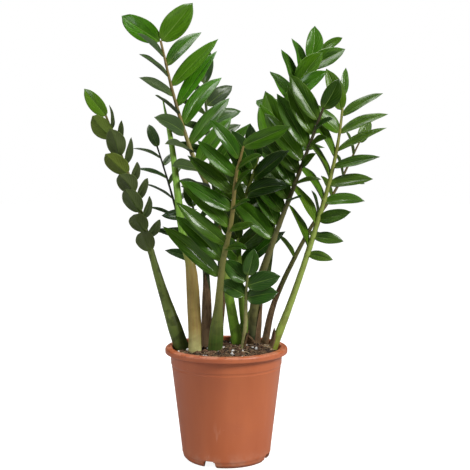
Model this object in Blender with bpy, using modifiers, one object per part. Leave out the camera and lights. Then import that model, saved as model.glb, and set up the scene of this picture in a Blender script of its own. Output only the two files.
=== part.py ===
"""Potted ZZ plant: a plastic nursery pot, its soil, and thirteen stalks with thick glossy leaflets.

Metres, +Z up, the plant's front towards -Y. The origin is the middle of the pot's underside, on the
surface that it stands on.
"""

import itertools
import math
import random
from collections import namedtuple

import bmesh
import bpy
from mathutils import Vector
from mathutils.bvhtree import BVHTree

# Pot
POT_HEIGHT = 0.155
LIP_RADIUS = 0.085
LIP_HEIGHT = 0.008
LIP_REACH = 0.0075
LIP_ROUND = 0.3 * LIP_HEIGHT
COLLAR_RADIUS = LIP_RADIUS - LIP_REACH
COLLAR_HEIGHT = 0.016
STEP = 0.0007
STEP_HEIGHT = POT_HEIGHT - LIP_HEIGHT - COLLAR_HEIGHT
BASE_RADIUS = 0.0605
BASE_EDGE = 0.0035
WALL = 0.0018
FOOT_WIDTH = 0.0022
FLOOR_RISE = 0.007
PAD_RADIUS = 0.02
POT_SIDES = 40

# Drainage notches through the pot's lower edge
NOTCH_COUNT = 4
NOTCH_TURN = math.radians(22)
NOTCH_WIDTH = 0.0215
NOTCH_TOP_WIDTH = 0.0155
NOTCH_HEIGHT = 0.0095
NOTCH_DEPTH = 0.011

# Soil
SOIL_DROP = 0.006
SOIL_TOP = POT_HEIGHT - SOIL_DROP
SOIL_CROWN = 0.0035
# (share of the radius, share of the crown) of the soil's domed top, from its middle out.
SOIL_DOME = ((0, 1), (0.5, 0.7), (0.85, 0), (1, -0.4))
ROOT_DEPTH = 0.012
SOCKET_RINGS = 4

# Plant
FOLIAGE_HEIGHT = 0.491
LEAF_LENGTH = 0.070
LEAF_WIDTH = 0.027
LEAF_THICKNESS = 0.0009
LEAF_NECK = 0.0012
LEAF_FOLD = math.radians(16)
LEAF_CURL = math.radians(20)
# How full a blade's outline is towards its neck and towards its tip: the larger, the more pointed.
LEAF_RISE = 0.62
LEAF_FALL = 0.82
STALK_GIRTH = 1.0
STALK_RINGS = 12
# How many points a stalk's middle line has, and how many steps between the ends of each part of it.
LINE_POINTS = 41
LINE_STEPS = 12
# How far chance moves a leaflet: in degrees, then as shares of its length and width and of its curl.
SWAY_FORWARD = 6
SWAY_LIFT = 8
SWAY_TILT = 12
SWAY_PITCH = 5
SWAY_SIZE = 0.08
SWAY_CURL = 0.6

# Fits
GAP = 0.0003
LEAF_SPACE = 0.0011
# A blade's neck has no room of its own up to the first share of its length, and its own stalk's room
# takes it up to the second.
NECK_SHARE = 0.04
FREE_SHARE = 0.1
ROOM_STATIONS = (0.35, 0.6, 0.85, 1.0)
ROOM_SIDES = 8
# A blade pitched by this many degrees has its neck turned this far round to the stalk's face.
FULL_PITCH = 14
FACE_TURN = math.radians(65)
# A blade that is one piece with its stalk has its neck this share of the stalk's radius from its axis.
NECK_DEPTH = 0.4
# The turns that are tried, in degrees, to find a blade a pose that is clear of what is in place.
TRY_FORWARD = (0, 8, -8, 18, 30)
TRY_LIFT = (0, 9, -9, 20, -20, 36, 52, -52, 75)
TRY_ROLL = (0, 20, -20, 45, -45)
TRY_PITCH = (0, 10, -10, 22, -22)

# The routes below are written in millimetres for foliage this high, and scale with FOLIAGE_HEIGHT. The
# girths are written for a pot with this radius inside at the soil, and scale with it.
ROUTE_HEIGHT = 0.495
GIRTH_ROOM = 0.075

Row = namedtuple("Row", "side count start end forward pitch length width lowest highest")
Tip = namedtuple("Tip", "swing length width")
Frond = namedtuple("Frond", "name root route girth facing lift tilt rows tips separate")

LEFT, RIGHT = -1, 1
# How fast the lowest and the highest blades' sizes fade into the rest of their row.
LOW_POWER, HIGH_POWER = 2, 3
# The two rows of a frond alternate: how far into its first step each row has its first blade.
ROW_START = {RIGHT: 0.25, LEFT: 0.7}

# One frond a stalk. Root: its place on the soil, where 1 is as near the pot's wall as the stalk can stand.
# Route: its middle line, measured from the root. Girth: (share of its length, radius in mm).
# Facing: the compass turn of its upper side, 0 to the front, 90 to the right. Lift: how far both rows
# fold up towards that side. Tilt: how far the blades turn to face the stalk's tip. In a row, forward is
# the angle between leaflet and stalk, pitch leans the blades' tips out to the upper side, and lowest and
# highest scale its two ends. Lengths and widths are shares of LEAF_LENGTH and LEAF_WIDTH. Degrees
# throughout.
FRONDS = (
    Frond(
        "far_left",
        (-1.01, 0.07),
        ((-28, 14, 80), (-48, 26, 144), (-71, 40, 222), (-113, 54, 332)),
        ((0, 10.6), (0.1, 10), (0.2, 7.4), (0.42, 4.4), (0.6, 3), (1, 1.6)),
        165, -30, 0,
        (
            Row(RIGHT, 7, 0.39, 0.97, 6, -22, 0.74, 1.12, 0.9, 0.95),
            Row(LEFT, 7, 0.42, 0.97, 50, 0, 0.66, 0.6, 1.0, 0.8),
        ),
        (Tip(-14, 0.76, 0.88),),
        6,
    ),
    Frond(
        "spear",
        (-0.67, -0.26),
        ((-1, 6, 45), (-6, 16, 115), (-14, 21, 145), (-22, 31, 191), (-34, 51, 284), (-48, 66, 353)),
        ((0, 9), (0.2, 9.2), (0.33, 7.8), (0.36, 5.6), (0.6, 5.2), (0.85, 3.8), (1, 0.8)),
        0, 0, 0, (), (), 0,
    ),
    Frond(
        "tallest",
        (0.25, 0.44),
        ((-14, 8, 78), (-36, 16, 205), (-66, 22, 276), (-92, 29, 357), (-112, 37, 440)),
        ((0, 8), (0.1, 7.2), (0.2, 6), (0.5, 3.4), (1, 1.6)),
        32, 20, 26,
        (
            Row(RIGHT, 8, 0.44, 0.97, 48, 0, 1.42, 1.02, 1.16, 0.84),
            Row(LEFT, 8, 0.46, 0.97, 38, 0, 0.8, 1.05, 1.1, 0.95),
        ),
        (Tip(36, 0.97, 1.45), Tip(-42, 0.95, 1.35)),
        8,
    ),
    Frond(
        "front",
        (-0.25, -0.2),
        ((5, -14, 62), (11, -36, 125), (23, -48, 184), (29, -58, 242), (39, -68, 282)),
        ((0, 10), (0.08, 10.2), (0.14, 8.8), (0.2, 6.2), (0.3, 5), (0.45, 3.9), (1, 1.5)),
        -33, 40, 24,
        (
            Row(LEFT, 8, 0.33, 0.97, 48, 0, 1.14, 0.86, 1.3, 0.7),
            Row(RIGHT, 5, 0.5, 0.97, 36, 0, 0.74, 0.7, 0.9, 0.9),
        ),
        (Tip(50, 0.9, 0.9),),
        6,
    ),
    Frond(
        "dark_right",
        (0.6, 0.22),
        ((4, -8, 78), (26, -20, 152), (58, -34, 240), (92, -49, 335)),
        ((0, 9.4), (0.1, 9), (0.2, 6.8), (0.5, 3.4), (1, 1.8)),
        -42, 34, 26,
        (
            Row(LEFT, 10, 0.42, 0.97, 44, 0, 1.28, 1.12, 0.85, 0.72),
            Row(RIGHT, 5, 0.6, 0.97, 40, 0, 0.66, 0.7, 0.9, 0.9),
        ),
        (Tip(8, 0.64, 1.05),),
        7,
    ),
    Frond(
        "far_right",
        (0.98, -0.03),
        ((26, 11, 64), (52, 20, 138), (81, 32, 230), (97, 44, 300), (105, 56, 362)),
        ((0, 6.5), (0.2, 4.6), (0.6, 3.2), (1, 1.4)),
        -4, 25, 24,
        (
            Row(RIGHT, 9, 0.36, 0.97, 52, 0, 1.16, 0.95, 0.4, 0.75),
            Row(LEFT, 7, 0.34, 0.97, 30, 0, 1.1, 1.3, 0.85, 0.7),
        ),
        (Tip(0, 0.58, 0.5),),
        7,
    ),
    Frond(
        "back_right",
        (0.17, 0.96),
        ((44, 20, 77), (62, 44, 211), (80, 66, 322), (103, 78, 396), (134, 90, 438)),
        ((0, 8), (0.2, 6), (0.6, 3.6), (1, 1.5)),
        0, 14, 16,
        (
            Row(RIGHT, 7, 0.54, 0.97, 20, 12, 1.0, 1.3, 1.0, 0.8),
            Row(LEFT, 8, 0.54, 0.97, 26, 0, 1.06, 1.3, 1.05, 0.75),
        ),
        (Tip(18, 0.62, 0.6),),
        5,
    ),
    Frond(
        "rear_right",
        (0.82, 0.59),
        ((11, 12, 49), (31, 26, 96), (69, 44, 166), (107, 56, 222), (145, 68, 296)),
        ((0, 5.5), (0.2, 4), (0.6, 2.6), (1, 1.2)),
        20, 30, 40,
        (
            Row(RIGHT, 5, 0.5, 0.97, 32, 0, 0.56, 0.7, 0.9, 0.9),
            Row(LEFT, 6, 0.33, 0.97, 42, 0, 0.6, 0.85, 1.0, 0.9),
        ),
        (Tip(0, 0.58, 0.68),),
        0,
    ),
    Frond(
        "low_front",
        (0.32, -0.23),
        ((4, -6, 43), (5, -12, 88), (7, -18, 110)),
        ((0, 3.2), (0.5, 2.4), (1, 1.6)),
        0, 20, 30,
        (
            Row(RIGHT, 2, 0.66, 0.97, 60, 0, 0.64, 1.0, 1.0, 1.0),
            Row(LEFT, 2, 0.6, 0.97, 40, 0, 0.58, 1.0, 1.0, 1.0),
        ),
        (Tip(10, 0.52, 0.9),),
        0,
    ),
    Frond(
        "wiry_left",
        (-0.54, 0.66),
        ((-12, 22, 77), (-28, 40, 136), (-39, 51, 193), (-54, 64, 244), (-69, 74, 290)),
        ((0, 3), (0.3, 2.2), (1, 1.2)),
        30, 10, 40,
        (
            Row(RIGHT, 5, 0.48, 0.97, 40, 0, 0.62, 0.5, 1.0, 0.8),
            Row(LEFT, 5, 0.44, 0.97, 52, 0, 0.72, 0.6, 1.0, 0.8),
        ),
        (Tip(0, 0.58, 0.72),),
        0,
    ),
    Frond(
        "behind_spear",
        (-0.44, 0.26),
        ((1, 10, 70), (-3, 20, 125), (-20, 36, 200)),
        ((0, 7.5), (0.3, 6.4), (0.6, 4), (1, 1.5)),
        -20, 20, 30,
        (
            Row(RIGHT, 3, 0.55, 0.97, 45, 0, 0.8, 0.9, 1.0, 0.9),
            Row(LEFT, 3, 0.5, 0.97, 60, 0, 0.88, 0.76, 1.0, 0.9),
        ),
        (Tip(0, 0.66, 0.8),),
        0,
    ),
    Frond(
        "middle",
        (0.44, 0.6),
        ((-9, -8, 80), (-12, -20, 155), (-4, -28, 210), (6, -36, 240), (15, -42, 270)),
        ((0, 6.5), (0.3, 4.4), (0.7, 3), (1, 1.6)),
        0, 20, 10,
        (
            Row(RIGHT, 6, 0.4, 0.97, 36, 0, 1.2, 1.15, 0.9, 0.8),
            Row(LEFT, 6, 0.4, 0.97, 32, 0, 1.2, 1.15, 0.9, 0.8),
        ),
        (Tip(0, 0.7, 0.9),),
        3,
    ),
    Frond(
        "behind_tallest",
        (-0.19, 0.93),
        ((4, 20, 100), (-6, 34, 220), (-16, 44, 320), (-22, 50, 385)),
        ((0, 6.5), (0.3, 4.4), (0.7, 3), (1, 1.4)),
        30, 25, 20,
        (
            Row(RIGHT, 7, 0.45, 0.97, 46, 0, 0.84, 0.96, 0.95, 0.8),
            Row(LEFT, 6, 0.5, 0.97, 56, 0, 0.85, 0.9, 0.9, 0.8),
        ),
        (Tip(15, 0.7, 0.9),),
        3,
    ),
)


# ---------------------------------------------------------------- where the stalks and leaflets go


def compass(degrees):
    """The level direction at this turn from the front, towards the right."""
    angle = math.radians(degrees)
    return Vector((math.sin(angle), -math.cos(angle), 0))


def inner_radius(height):
    """The inside of the pot's wall at this height."""
    if height >= STEP_HEIGHT:
        return COLLAR_RADIUS - STEP - WALL
    return BASE_RADIUS + (COLLAR_RADIUS - 2 * STEP - BASE_RADIUS) * height / STEP_HEIGHT - WALL


def between(pairs, share):
    """The value at a share along a list of (share, value) pairs."""
    for (low, before), (high, after) in zip(pairs, pairs[1:]):
        if share <= high:
            return before + (after - before) * (share - low) / (high - low)
    return pairs[-1][1]


def girth_scale():
    """What turns a girth in the list of fronds into a radius in metres."""
    return STALK_GIRTH * inner_radius(SOIL_TOP) / GIRTH_ROOM / 1000


def smooth_route(frond, count):
    """Evenly spaced points along the frond's route, as a Catmull-Rom curve, from the soil's surface up."""
    steps = [Vector(step) * (FOLIAGE_HEIGHT / ROUTE_HEIGHT / 1000) for step in frond.route]
    lean = steps[0].xy.length / steps[0].z * SOIL_DROP
    room = inner_radius(SOIL_TOP) - frond.girth[0][1] * girth_scale() - lean - LEAF_SPACE
    root = Vector((frond.root[0] * room, frond.root[1] * room, SOIL_TOP))
    knots = [root, *(root + step for step in steps)]
    knots = [2 * knots[0] - knots[1], *knots, 2 * knots[-1] - knots[-2]]
    fine = []
    for a, b, c, d in zip(knots, knots[1:], knots[2:], knots[3:]):
        for step in range(LINE_STEPS):
            t = step / LINE_STEPS
            fine.append(
                (2 * b + (c - a) * t + (2 * a - 5 * b + 4 * c - d) * t**2
                 + (3 * b - a - 3 * c + d) * t**3) / 2
            )
    fine.append(knots[-2])
    along = [0.0]
    for before, after in zip(fine, fine[1:]):
        along.append(along[-1] + (after - before).length)
    points = []
    segment = 0
    for index in range(count):
        target = along[-1] * index / (count - 1)
        while segment < len(fine) - 2 and along[segment + 1] < target:
            segment += 1
        share = (target - along[segment]) / (along[segment + 1] - along[segment])
        points.append(fine[segment].lerp(fine[segment + 1], share))
    return points


class Stalk:
    """A frond's middle line, with its radius and its directions at any share of its length."""

    def __init__(self, frond):
        self.frond = frond
        self.points = smooth_route(frond, LINE_POINTS)

    def radius(self, share):
        return between(self.frond.girth, share) * girth_scale()

    def place(self, share, facing=None):
        """The point, the direction along the stalk, its upper side and its right side."""
        spot = share * (len(self.points) - 1)
        index = min(int(spot), len(self.points) - 2)
        point = self.points[index].lerp(self.points[index + 1], spot - index)
        ahead = self.points[min(index + 2, len(self.points) - 1)]
        along = (ahead - self.points[max(index - 1, 0)]).normalized()
        upper = compass(self.frond.facing if facing is None else facing)
        upper = (upper - along * along.dot(upper)).normalized()
        return point, along, upper, along.cross(upper)

    def rings(self, spread):
        """(point, radius) of each ring, from the root's end in the soil up."""
        below = self.points[0] - Vector((0, 0, ROOT_DEPTH))
        found = [(below, self.radius(0) + spread)]
        for index in range(STALK_RINGS + 1):
            share = index / STALK_RINGS
            point = self.place(share)[0]
            found.append((point, self.radius(share) + spread))
        return found


Leaf = namedtuple("Leaf", "name base direction normal length width fold curl separate")


def outline(share):
    """Half the width of a blade at a share of its length, as a share of the greatest half width."""
    widest = LEAF_RISE / (LEAF_RISE + LEAF_FALL)
    return (share / widest) ** LEAF_RISE * ((1 - share) / (1 - widest)) ** LEAF_FALL


def blade_point(leaf, along, across, above=0.0, wider=0.0):
    """A point of the blade, at shares along it and across it, raised and spread out if wanted."""
    angle = leaf.curl * along
    forward = leaf.length * (math.sin(angle) / leaf.curl)
    sink = leaf.length * (1 - math.cos(angle)) / leaf.curl
    half = LEAF_NECK + (leaf.width / 2 - LEAF_NECK) * outline(along) + wider
    if along == 1.0:
        half = LEAF_NECK / 2 + wider
    side = leaf.normal.cross(leaf.direction)
    bent = leaf.normal * math.cos(angle) + leaf.direction * math.sin(angle)
    rise = abs(across) * half * math.sin(leaf.fold) + above
    return (
        leaf.base + leaf.direction * forward - leaf.normal * sink
        + bent * rise + side * (across * half * math.cos(leaf.fold))
    )


def room_around(leaf, start, space=LEAF_SPACE):
    """(points, faces) of a closed envelope around the blade from a share of its length."""
    stations = (start, *ROOM_STATIONS)
    above = LEAF_THICKNESS / 2 + space
    points = []
    for along in stations:
        for across, height in ((-1, -above), (-1, above), (0, above), (1, above), (1, -above), (0, -above)):
            points.append(blade_point(leaf, along, across, height, space))
    return points, loft_faces(len(stations), 6)


def loft_faces(rings, sides):
    """The faces that join rings of points, with both ends closed."""
    faces = [tuple(range(sides))[::-1]]
    for ring in range(rings - 1):
        for side in range(sides):
            after = (side + 1) % sides
            start = ring * sides
            faces.append((start + side, start + after, start + sides + after, start + sides + side))
    faces.append(tuple((rings - 1) * sides + side for side in range(sides)))
    return faces


def stalk_room(stalk, space):
    """(points, faces) of a tube around the stalk."""
    points = []
    rings = stalk.rings(space)
    for index, (point, radius) in enumerate(rings):
        share = max(0, index - 1) / STALK_RINGS
        _, _, upper, right = stalk.place(share)
        for side in range(ROOM_SIDES):
            angle = 2 * math.pi * side / ROOM_SIDES
            points.append(point + (upper * math.cos(angle) + right * math.sin(angle)) * radius)
    return points, loft_faces(len(rings), ROOM_SIDES)


class Room:
    """Closed envelopes of what is already in place, to find each new blade a pose that is clear of them."""

    def __init__(self):
        self.points = []
        self.faces = []
        self.tree = None

    def add(self, points, faces):
        start = len(self.points)
        self.points += points
        self.faces += [tuple(start + corner for corner in face) for face in faces]
        self.tree = BVHTree.FromPolygons(self.points, self.faces)

    def hits(self, points, faces):
        """How many pairs of faces cross."""
        if self.tree is None:
            return 0
        return len(self.tree.overlap(BVHTree.FromPolygons(points, faces)))


def tries():
    """Small turns (forward, lift, roll, pitch) away from the wanted pose, the smallest first."""
    found = itertools.product(TRY_FORWARD, TRY_LIFT, TRY_ROLL, TRY_PITCH)
    return sorted(found, key=lambda turn: (sum(angle**2 for angle in turn), turn))


def pose(stalk, share, side, forward, lift, tilt, pitch, face, joined):
    """The base, direction and upper side of a blade at this share of the stalk. Face is the row's pitch."""
    # The leaflets at the very tip face the front on every frond.
    point, along, upper, right = stalk.place(share, 0 if share == 1.0 else None)
    forward, lift, tilt, pitch = (math.radians(value) for value in (forward, lift, tilt, pitch))
    outward = right * (side * math.cos(lift)) + upper * math.sin(lift)
    direction = (along * math.cos(forward) + outward * math.sin(forward)).normalized()
    flat = upper * math.cos(lift) - right * (side * math.sin(lift))
    flat = (flat - direction * direction.dot(flat)).normalized()
    to_tip = (along - direction * direction.dot(along)).normalized()
    normal = (flat * math.cos(tilt) + to_tip * math.sin(tilt)).normalized()
    leaning = direction * math.cos(pitch) + normal * math.sin(pitch)
    normal = normal * math.cos(pitch) - direction * math.sin(pitch)
    # Where the blades lean out, their necks start round on that face of the stalk.
    round_by = math.copysign(min(abs(face) / FULL_PITCH, 1) * FACE_TURN, face)
    from_axis = outward * math.cos(round_by) + upper * math.sin(round_by)
    radius = stalk.radius(share)
    base = point + from_axis * (radius * NECK_DEPTH if joined else radius + GAP + LEAF_NECK)
    return base, leaning, normal


def wanted_leaves(stalk):
    """(share, side, forward, lift, tilt, pitch, length, width) of the frond's blades, from its root up."""
    frond = stalk.frond
    wanted = []
    for row in frond.rows:
        for index in range(row.count):
            step = (index + ROW_START[row.side]) / row.count
            share = row.start + (row.end - row.start) * step
            size = 1 + (row.lowest - 1) * (1 - step) ** LOW_POWER + (row.highest - 1) * step**HIGH_POWER
            wanted.append((share, row.side, row.forward, frond.lift, frond.tilt, row.pitch,
                           row.length * size, row.width * (1 + size) / 2))
    wanted.sort()
    for tip in frond.tips:
        side = RIGHT if tip.swing > 0 else LEFT
        wanted.append((1.0, side, abs(tip.swing), 0, 0, 0, tip.length, tip.width))
    return wanted


def grow(stalks):
    """Every leaflet of the plant, each clear of the stalks and of the leaflets before it."""
    leaf_rooms = Room()
    leaves = []
    turns = tries()
    for stalk in stalks:
        other_stalks = Room()
        for other in stalks:
            if other is not stalk:
                other_stalks.add(*stalk_room(other, LEAF_SPACE))
        own_stalk = Room()
        own_stalk.add(*stalk_room(stalk, GAP))
        wanted = wanted_leaves(stalk)
        chance = random.Random(stalk.frond.name)
        for index in reversed(range(len(wanted))):
            share, side, forward, lift, tilt, pitch, length, width = wanted[index]
            separate = index >= len(wanted) - stalk.frond.separate
            at_tip = share == 1.0
            joined = not separate and not at_tip
            sway = [chance.uniform(-1, 1) for _ in range(7)]
            best = None
            for more_forward, more_lift, roll, more_pitch in turns:
                base, direction, normal = pose(
                    stalk, share, side,
                    forward + more_forward + SWAY_FORWARD * sway[0],
                    lift + more_lift + SWAY_LIFT * sway[1],
                    tilt + roll + SWAY_TILT * sway[2],
                    pitch + more_pitch + SWAY_PITCH * sway[3],
                    pitch, joined,
                )
                if at_tip:
                    apart = (LEAF_NECK + LEAF_SPACE) * (len(stalk.frond.tips) - 1)
                    base = stalk.points[-1] + direction * (GAP + LEAF_NECK if separate else -LEAF_NECK)
                    base += stalk.place(share, 0)[3] * side * apart
                leaf = Leaf(
                    f"leaflet_{stalk.frond.name}_{index + 1:02d}",
                    base, direction, normal,
                    length * LEAF_LENGTH * (1 + SWAY_SIZE * sway[4]),
                    width * LEAF_WIDTH * (1 + SWAY_SIZE * sway[5]),
                    LEAF_FOLD,
                    LEAF_CURL * (1 + SWAY_CURL * sway[6]),
                    separate,
                )
                hits = leaf_rooms.hits(*room_around(leaf, NECK_SHARE))
                hits += other_stalks.hits(*room_around(leaf, NECK_SHARE))
                hits += own_stalk.hits(*room_around(leaf, FREE_SHARE, GAP))
                if best is None or hits < best[0]:
                    best = (hits, leaf)
                if not hits:
                    break
            leaves.append((stalk, best[1]))
            leaf_rooms.add(*room_around(best[1], NECK_SHARE))
    return leaves


# ---------------------------------------------------------------- modelling


def clear_scene():
    for obj in list(bpy.data.objects):
        bpy.data.objects.remove(obj, do_unlink=True)


def new_collection(name):
    collection = bpy.data.collections.new(name)
    bpy.context.scene.collection.children.link(collection)
    return collection


def plain_material(name, colour, roughness):
    material = bpy.data.materials.new(name)
    material.use_nodes = True
    shader = material.node_tree.nodes["Principled BSDF"]
    shader.inputs["Base Color"].default_value = (*colour, 1)
    shader.inputs["Roughness"].default_value = roughness
    shader.inputs["Metallic"].default_value = 0
    return material


def add_object(name, mesh, collection, material=None):
    obj = bpy.data.objects.new(name, mesh)
    collection.objects.link(obj)
    if material:
        mesh.materials.append(material)
    return obj


def as_helper(obj):
    """A cutter or a body to join: neither rendered nor one of the parts."""
    obj.hide_render = True
    obj.display_type = "WIRE"
    return obj


def turned(name, profile, sides, collection, material):
    """A body of revolution about Z. The profile's (radius, height) points run down its outer side."""
    mesh = bpy.data.meshes.new(name)
    edges = [(index, index + 1) for index in range(len(profile) - 1)]
    mesh.from_pydata([(radius, 0, height) for radius, height in profile], edges, [])
    obj = add_object(name, mesh, collection, material)
    screw = obj.modifiers.new("turn", "SCREW")
    screw.steps = sides
    screw.render_steps = sides
    screw.use_merge_vertices = True
    screw.merge_threshold = 0.00001
    screw.use_smooth_shade = True
    return obj


def boolean(obj, other, operation):
    modifier = obj.modifiers.new(operation.lower(), "BOOLEAN")
    modifier.operation = operation
    modifier.object = other


def pot_profile():
    """Inside floor, up the wall, over the rolled lip, down the outside and in under the foot."""
    lower_radius = COLLAR_RADIUS - 2 * STEP
    lip_bottom = POT_HEIGHT - LIP_HEIGHT
    foot_radius = BASE_RADIUS - BASE_EDGE
    floor = FLOOR_RISE + WALL
    inner_top = COLLAR_RADIUS - STEP - WALL
    groove = BASE_EDGE
    return (
        (0, WALL),
        (PAD_RADIUS, WALL),
        (PAD_RADIUS + groove, floor),
        (inner_radius(floor) - groove / 2, floor),
        (inner_radius(floor + groove / 2), floor + groove / 2),
        (lower_radius - WALL, STEP_HEIGHT),
        (inner_top, STEP_HEIGHT + STEP),
        (inner_top, POT_HEIGHT - LIP_ROUND),
        (inner_top + LIP_ROUND, POT_HEIGHT),
        (LIP_RADIUS - LIP_ROUND, POT_HEIGHT),
        (LIP_RADIUS, POT_HEIGHT - LIP_ROUND),
        (LIP_RADIUS, lip_bottom + LIP_ROUND / 2),
        (LIP_RADIUS - LIP_ROUND / 2, lip_bottom),
        (COLLAR_RADIUS, lip_bottom),
        (COLLAR_RADIUS - STEP, STEP_HEIGHT + STEP),
        (lower_radius, STEP_HEIGHT),
        (BASE_RADIUS, 1.6 * groove),
        (foot_radius + 0.3 * groove, 0.3 * groove),
        (foot_radius, 0),
        (foot_radius - FOOT_WIDTH, 0),
        (foot_radius - FOOT_WIDTH - groove / 2, FLOOR_RISE),
        (PAD_RADIUS + groove, FLOOR_RISE),
        (PAD_RADIUS - WALL, 0),
        (0, 0),
    )


def notch_cutter(index, collection):
    """A wedge with a trapezoid front, through the pot's lower edge."""
    mesh = bpy.data.meshes.new("notch")
    shape = bmesh.new()
    bmesh.ops.create_cube(shape, size=1)
    for vert in shape.verts:
        at_top = vert.co.z > 0
        width = NOTCH_TOP_WIDTH if at_top else NOTCH_WIDTH
        outer = vert.co.y < 0
        vert.co.x = math.copysign(width / 2, vert.co.x)
        vert.co.y = -BASE_RADIUS - WALL if outer else NOTCH_DEPTH - BASE_RADIUS
        vert.co.z = NOTCH_HEIGHT if at_top else -NOTCH_HEIGHT
    shape.to_mesh(mesh)
    shape.free()
    obj = as_helper(add_object(f"notch_{index + 1}", mesh, collection))
    obj.rotation_euler.z = 2 * math.pi * index / NOTCH_COUNT - NOTCH_TURN
    return obj


def make_pot(parts, cutters):
    material = plain_material("terracotta_plastic", (0.47, 0.12, 0.05), 0.55)
    pot = turned("pot", pot_profile(), POT_SIDES, parts, material)
    for index in range(NOTCH_COUNT):
        boolean(pot, notch_cutter(index, cutters), "DIFFERENCE")


def soil_profile():
    """Domed top, then down the pot's inside with a gap, and over its floor."""
    floor = FLOOR_RISE + WALL + GAP
    bend = BASE_EDGE / 2
    top_radius = inner_radius(SOIL_TOP) - GAP
    return (
        *((top_radius * out, SOIL_TOP + SOIL_CROWN * up) for out, up in SOIL_DOME),
        (top_radius, STEP_HEIGHT + STEP + GAP),
        (inner_radius(STEP_HEIGHT - GAP) - GAP, STEP_HEIGHT - GAP),
        (inner_radius(floor + bend) - 2 * GAP, floor + bend + GAP),
        (inner_radius(floor) - bend - 2 * GAP, floor),
        (0, floor),
    )


def stalk_curve(name, rings, collection):
    """A tube with a radius of its own at each ring and closed ends."""
    curve = bpy.data.curves.new(name, "CURVE")
    curve.dimensions = "3D"
    curve.bevel_depth = 1
    curve.bevel_resolution = 2
    curve.use_fill_caps = True
    curve.resolution_u = 1
    spline = curve.splines.new("POLY")
    spline.points.add(len(rings) - 1)
    for knot, (point, radius) in zip(spline.points, rings):
        knot.co = (*point, 1)
        knot.radius = radius
    obj = bpy.data.objects.new(name, curve)
    collection.objects.link(obj)
    return obj


def stalk_body(name, rings, collection, material=None):
    """The tube as one closed mesh."""
    tube = stalk_curve(name + "_line", rings, collection)
    bpy.context.view_layer.update()
    graph = bpy.context.evaluated_depsgraph_get()
    mesh = bpy.data.meshes.new_from_object(tube.evaluated_get(graph))
    mesh.name = name
    shape = bmesh.new()
    shape.from_mesh(mesh)
    bmesh.ops.remove_doubles(shape, verts=shape.verts, dist=0.00001)
    shape.to_mesh(mesh)
    shape.free()
    obj = add_object(name, mesh, collection, material)
    obj.matrix_world = tube.matrix_world
    bpy.data.objects.remove(tube)
    mesh.shade_smooth()
    return obj


BLADE_STATIONS = (0.0, 0.12, 0.4, 0.72, 1.0)


def blade_sheet(shape, leaf):
    """Adds the blade's middle surface to a bmesh: a grid, bent to the blade's form."""
    rows = len(BLADE_STATIONS)
    made = bmesh.ops.create_grid(shape, x_segments=rows - 1, y_segments=2, size=1)
    for vert in made["verts"]:
        station = round((vert.co.x + 1) / 2 * (rows - 1))
        vert.co = blade_point(leaf, BLADE_STATIONS[station], round(vert.co.y))


def blade_object(name, leaves, collection, material=None):
    """One object with these blades, each a sheet with Solidify."""
    mesh = bpy.data.meshes.new(name)
    shape = bmesh.new()
    for leaf in leaves:
        blade_sheet(shape, leaf)
    shape.to_mesh(mesh)
    shape.free()
    mesh.shade_smooth()
    obj = add_object(name, mesh, collection, material)
    solidify = obj.modifiers.new("thickness", "SOLIDIFY")
    solidify.thickness = LEAF_THICKNESS
    solidify.offset = 0
    return obj


def make_soil(parts, cutters, stalks):
    material = plain_material("potting_soil", (0.035, 0.022, 0.015), 0.95)
    soil = turned("soil", soil_profile(), POT_SIDES, parts, material)
    for stalk in stalks:
        socket = stalk.rings(GAP)[:SOCKET_RINGS]
        socket[0] = (socket[0][0] - Vector((0, 0, GAP)), socket[0][1])
        body = stalk_body(f"socket_{stalk.frond.name}", socket, cutters)
        boolean(soil, as_helper(body), "DIFFERENCE")


def make_plant(parts, helpers, stalks):
    stalk_green = plain_material("stalk_green", (0.16, 0.24, 0.06), 0.5)
    leaf_green = plain_material("leaf_green", (0.035, 0.14, 0.012), 0.3)
    leaves = grow(stalks)
    for stalk in stalks:
        name = stalk.frond.name
        body = stalk_body(f"stalk_{name}", stalk.rings(0), parts, stalk_green)
        joined = [leaf for owner, leaf in leaves if owner is stalk and not leaf.separate]
        if joined:
            boolean(body, as_helper(blade_object(f"blades_{name}", joined, helpers)), "UNION")
    for _, leaf in leaves:
        if leaf.separate:
            blade_object(leaf.name, [leaf], parts, leaf_green)


def main():
    clear_scene()
    parts = new_collection("potted_zz_plant")
    helpers = new_collection("helpers")
    helpers.hide_render = True
    stalks = [Stalk(frond) for frond in FRONDS]
    make_pot(parts, helpers)
    make_soil(parts, helpers, stalks)
    make_plant(parts, helpers, stalks)


main()
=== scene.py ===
"""Potted ZZ plant: the finished look of the pot, its soil, and every stalk and leaflet."""

import itertools
import math
import random
from collections import namedtuple

import bmesh
import bpy
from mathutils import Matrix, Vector, noise
from mathutils.bvhtree import BVHTree


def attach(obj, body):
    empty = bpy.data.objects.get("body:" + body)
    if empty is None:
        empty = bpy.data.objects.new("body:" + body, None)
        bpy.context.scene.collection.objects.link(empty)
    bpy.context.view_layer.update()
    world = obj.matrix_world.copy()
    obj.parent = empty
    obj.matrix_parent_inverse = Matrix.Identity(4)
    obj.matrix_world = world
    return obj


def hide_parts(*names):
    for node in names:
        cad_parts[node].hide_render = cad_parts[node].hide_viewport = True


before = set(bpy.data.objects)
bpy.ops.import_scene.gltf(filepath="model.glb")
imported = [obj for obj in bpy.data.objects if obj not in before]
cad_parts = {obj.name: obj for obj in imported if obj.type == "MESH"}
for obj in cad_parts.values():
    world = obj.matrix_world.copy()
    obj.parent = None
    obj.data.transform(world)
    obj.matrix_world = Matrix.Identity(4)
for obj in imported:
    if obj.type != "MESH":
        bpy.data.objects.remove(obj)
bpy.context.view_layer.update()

# ---------------------------------------------------------------- the plant's measures, as in its solids

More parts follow.
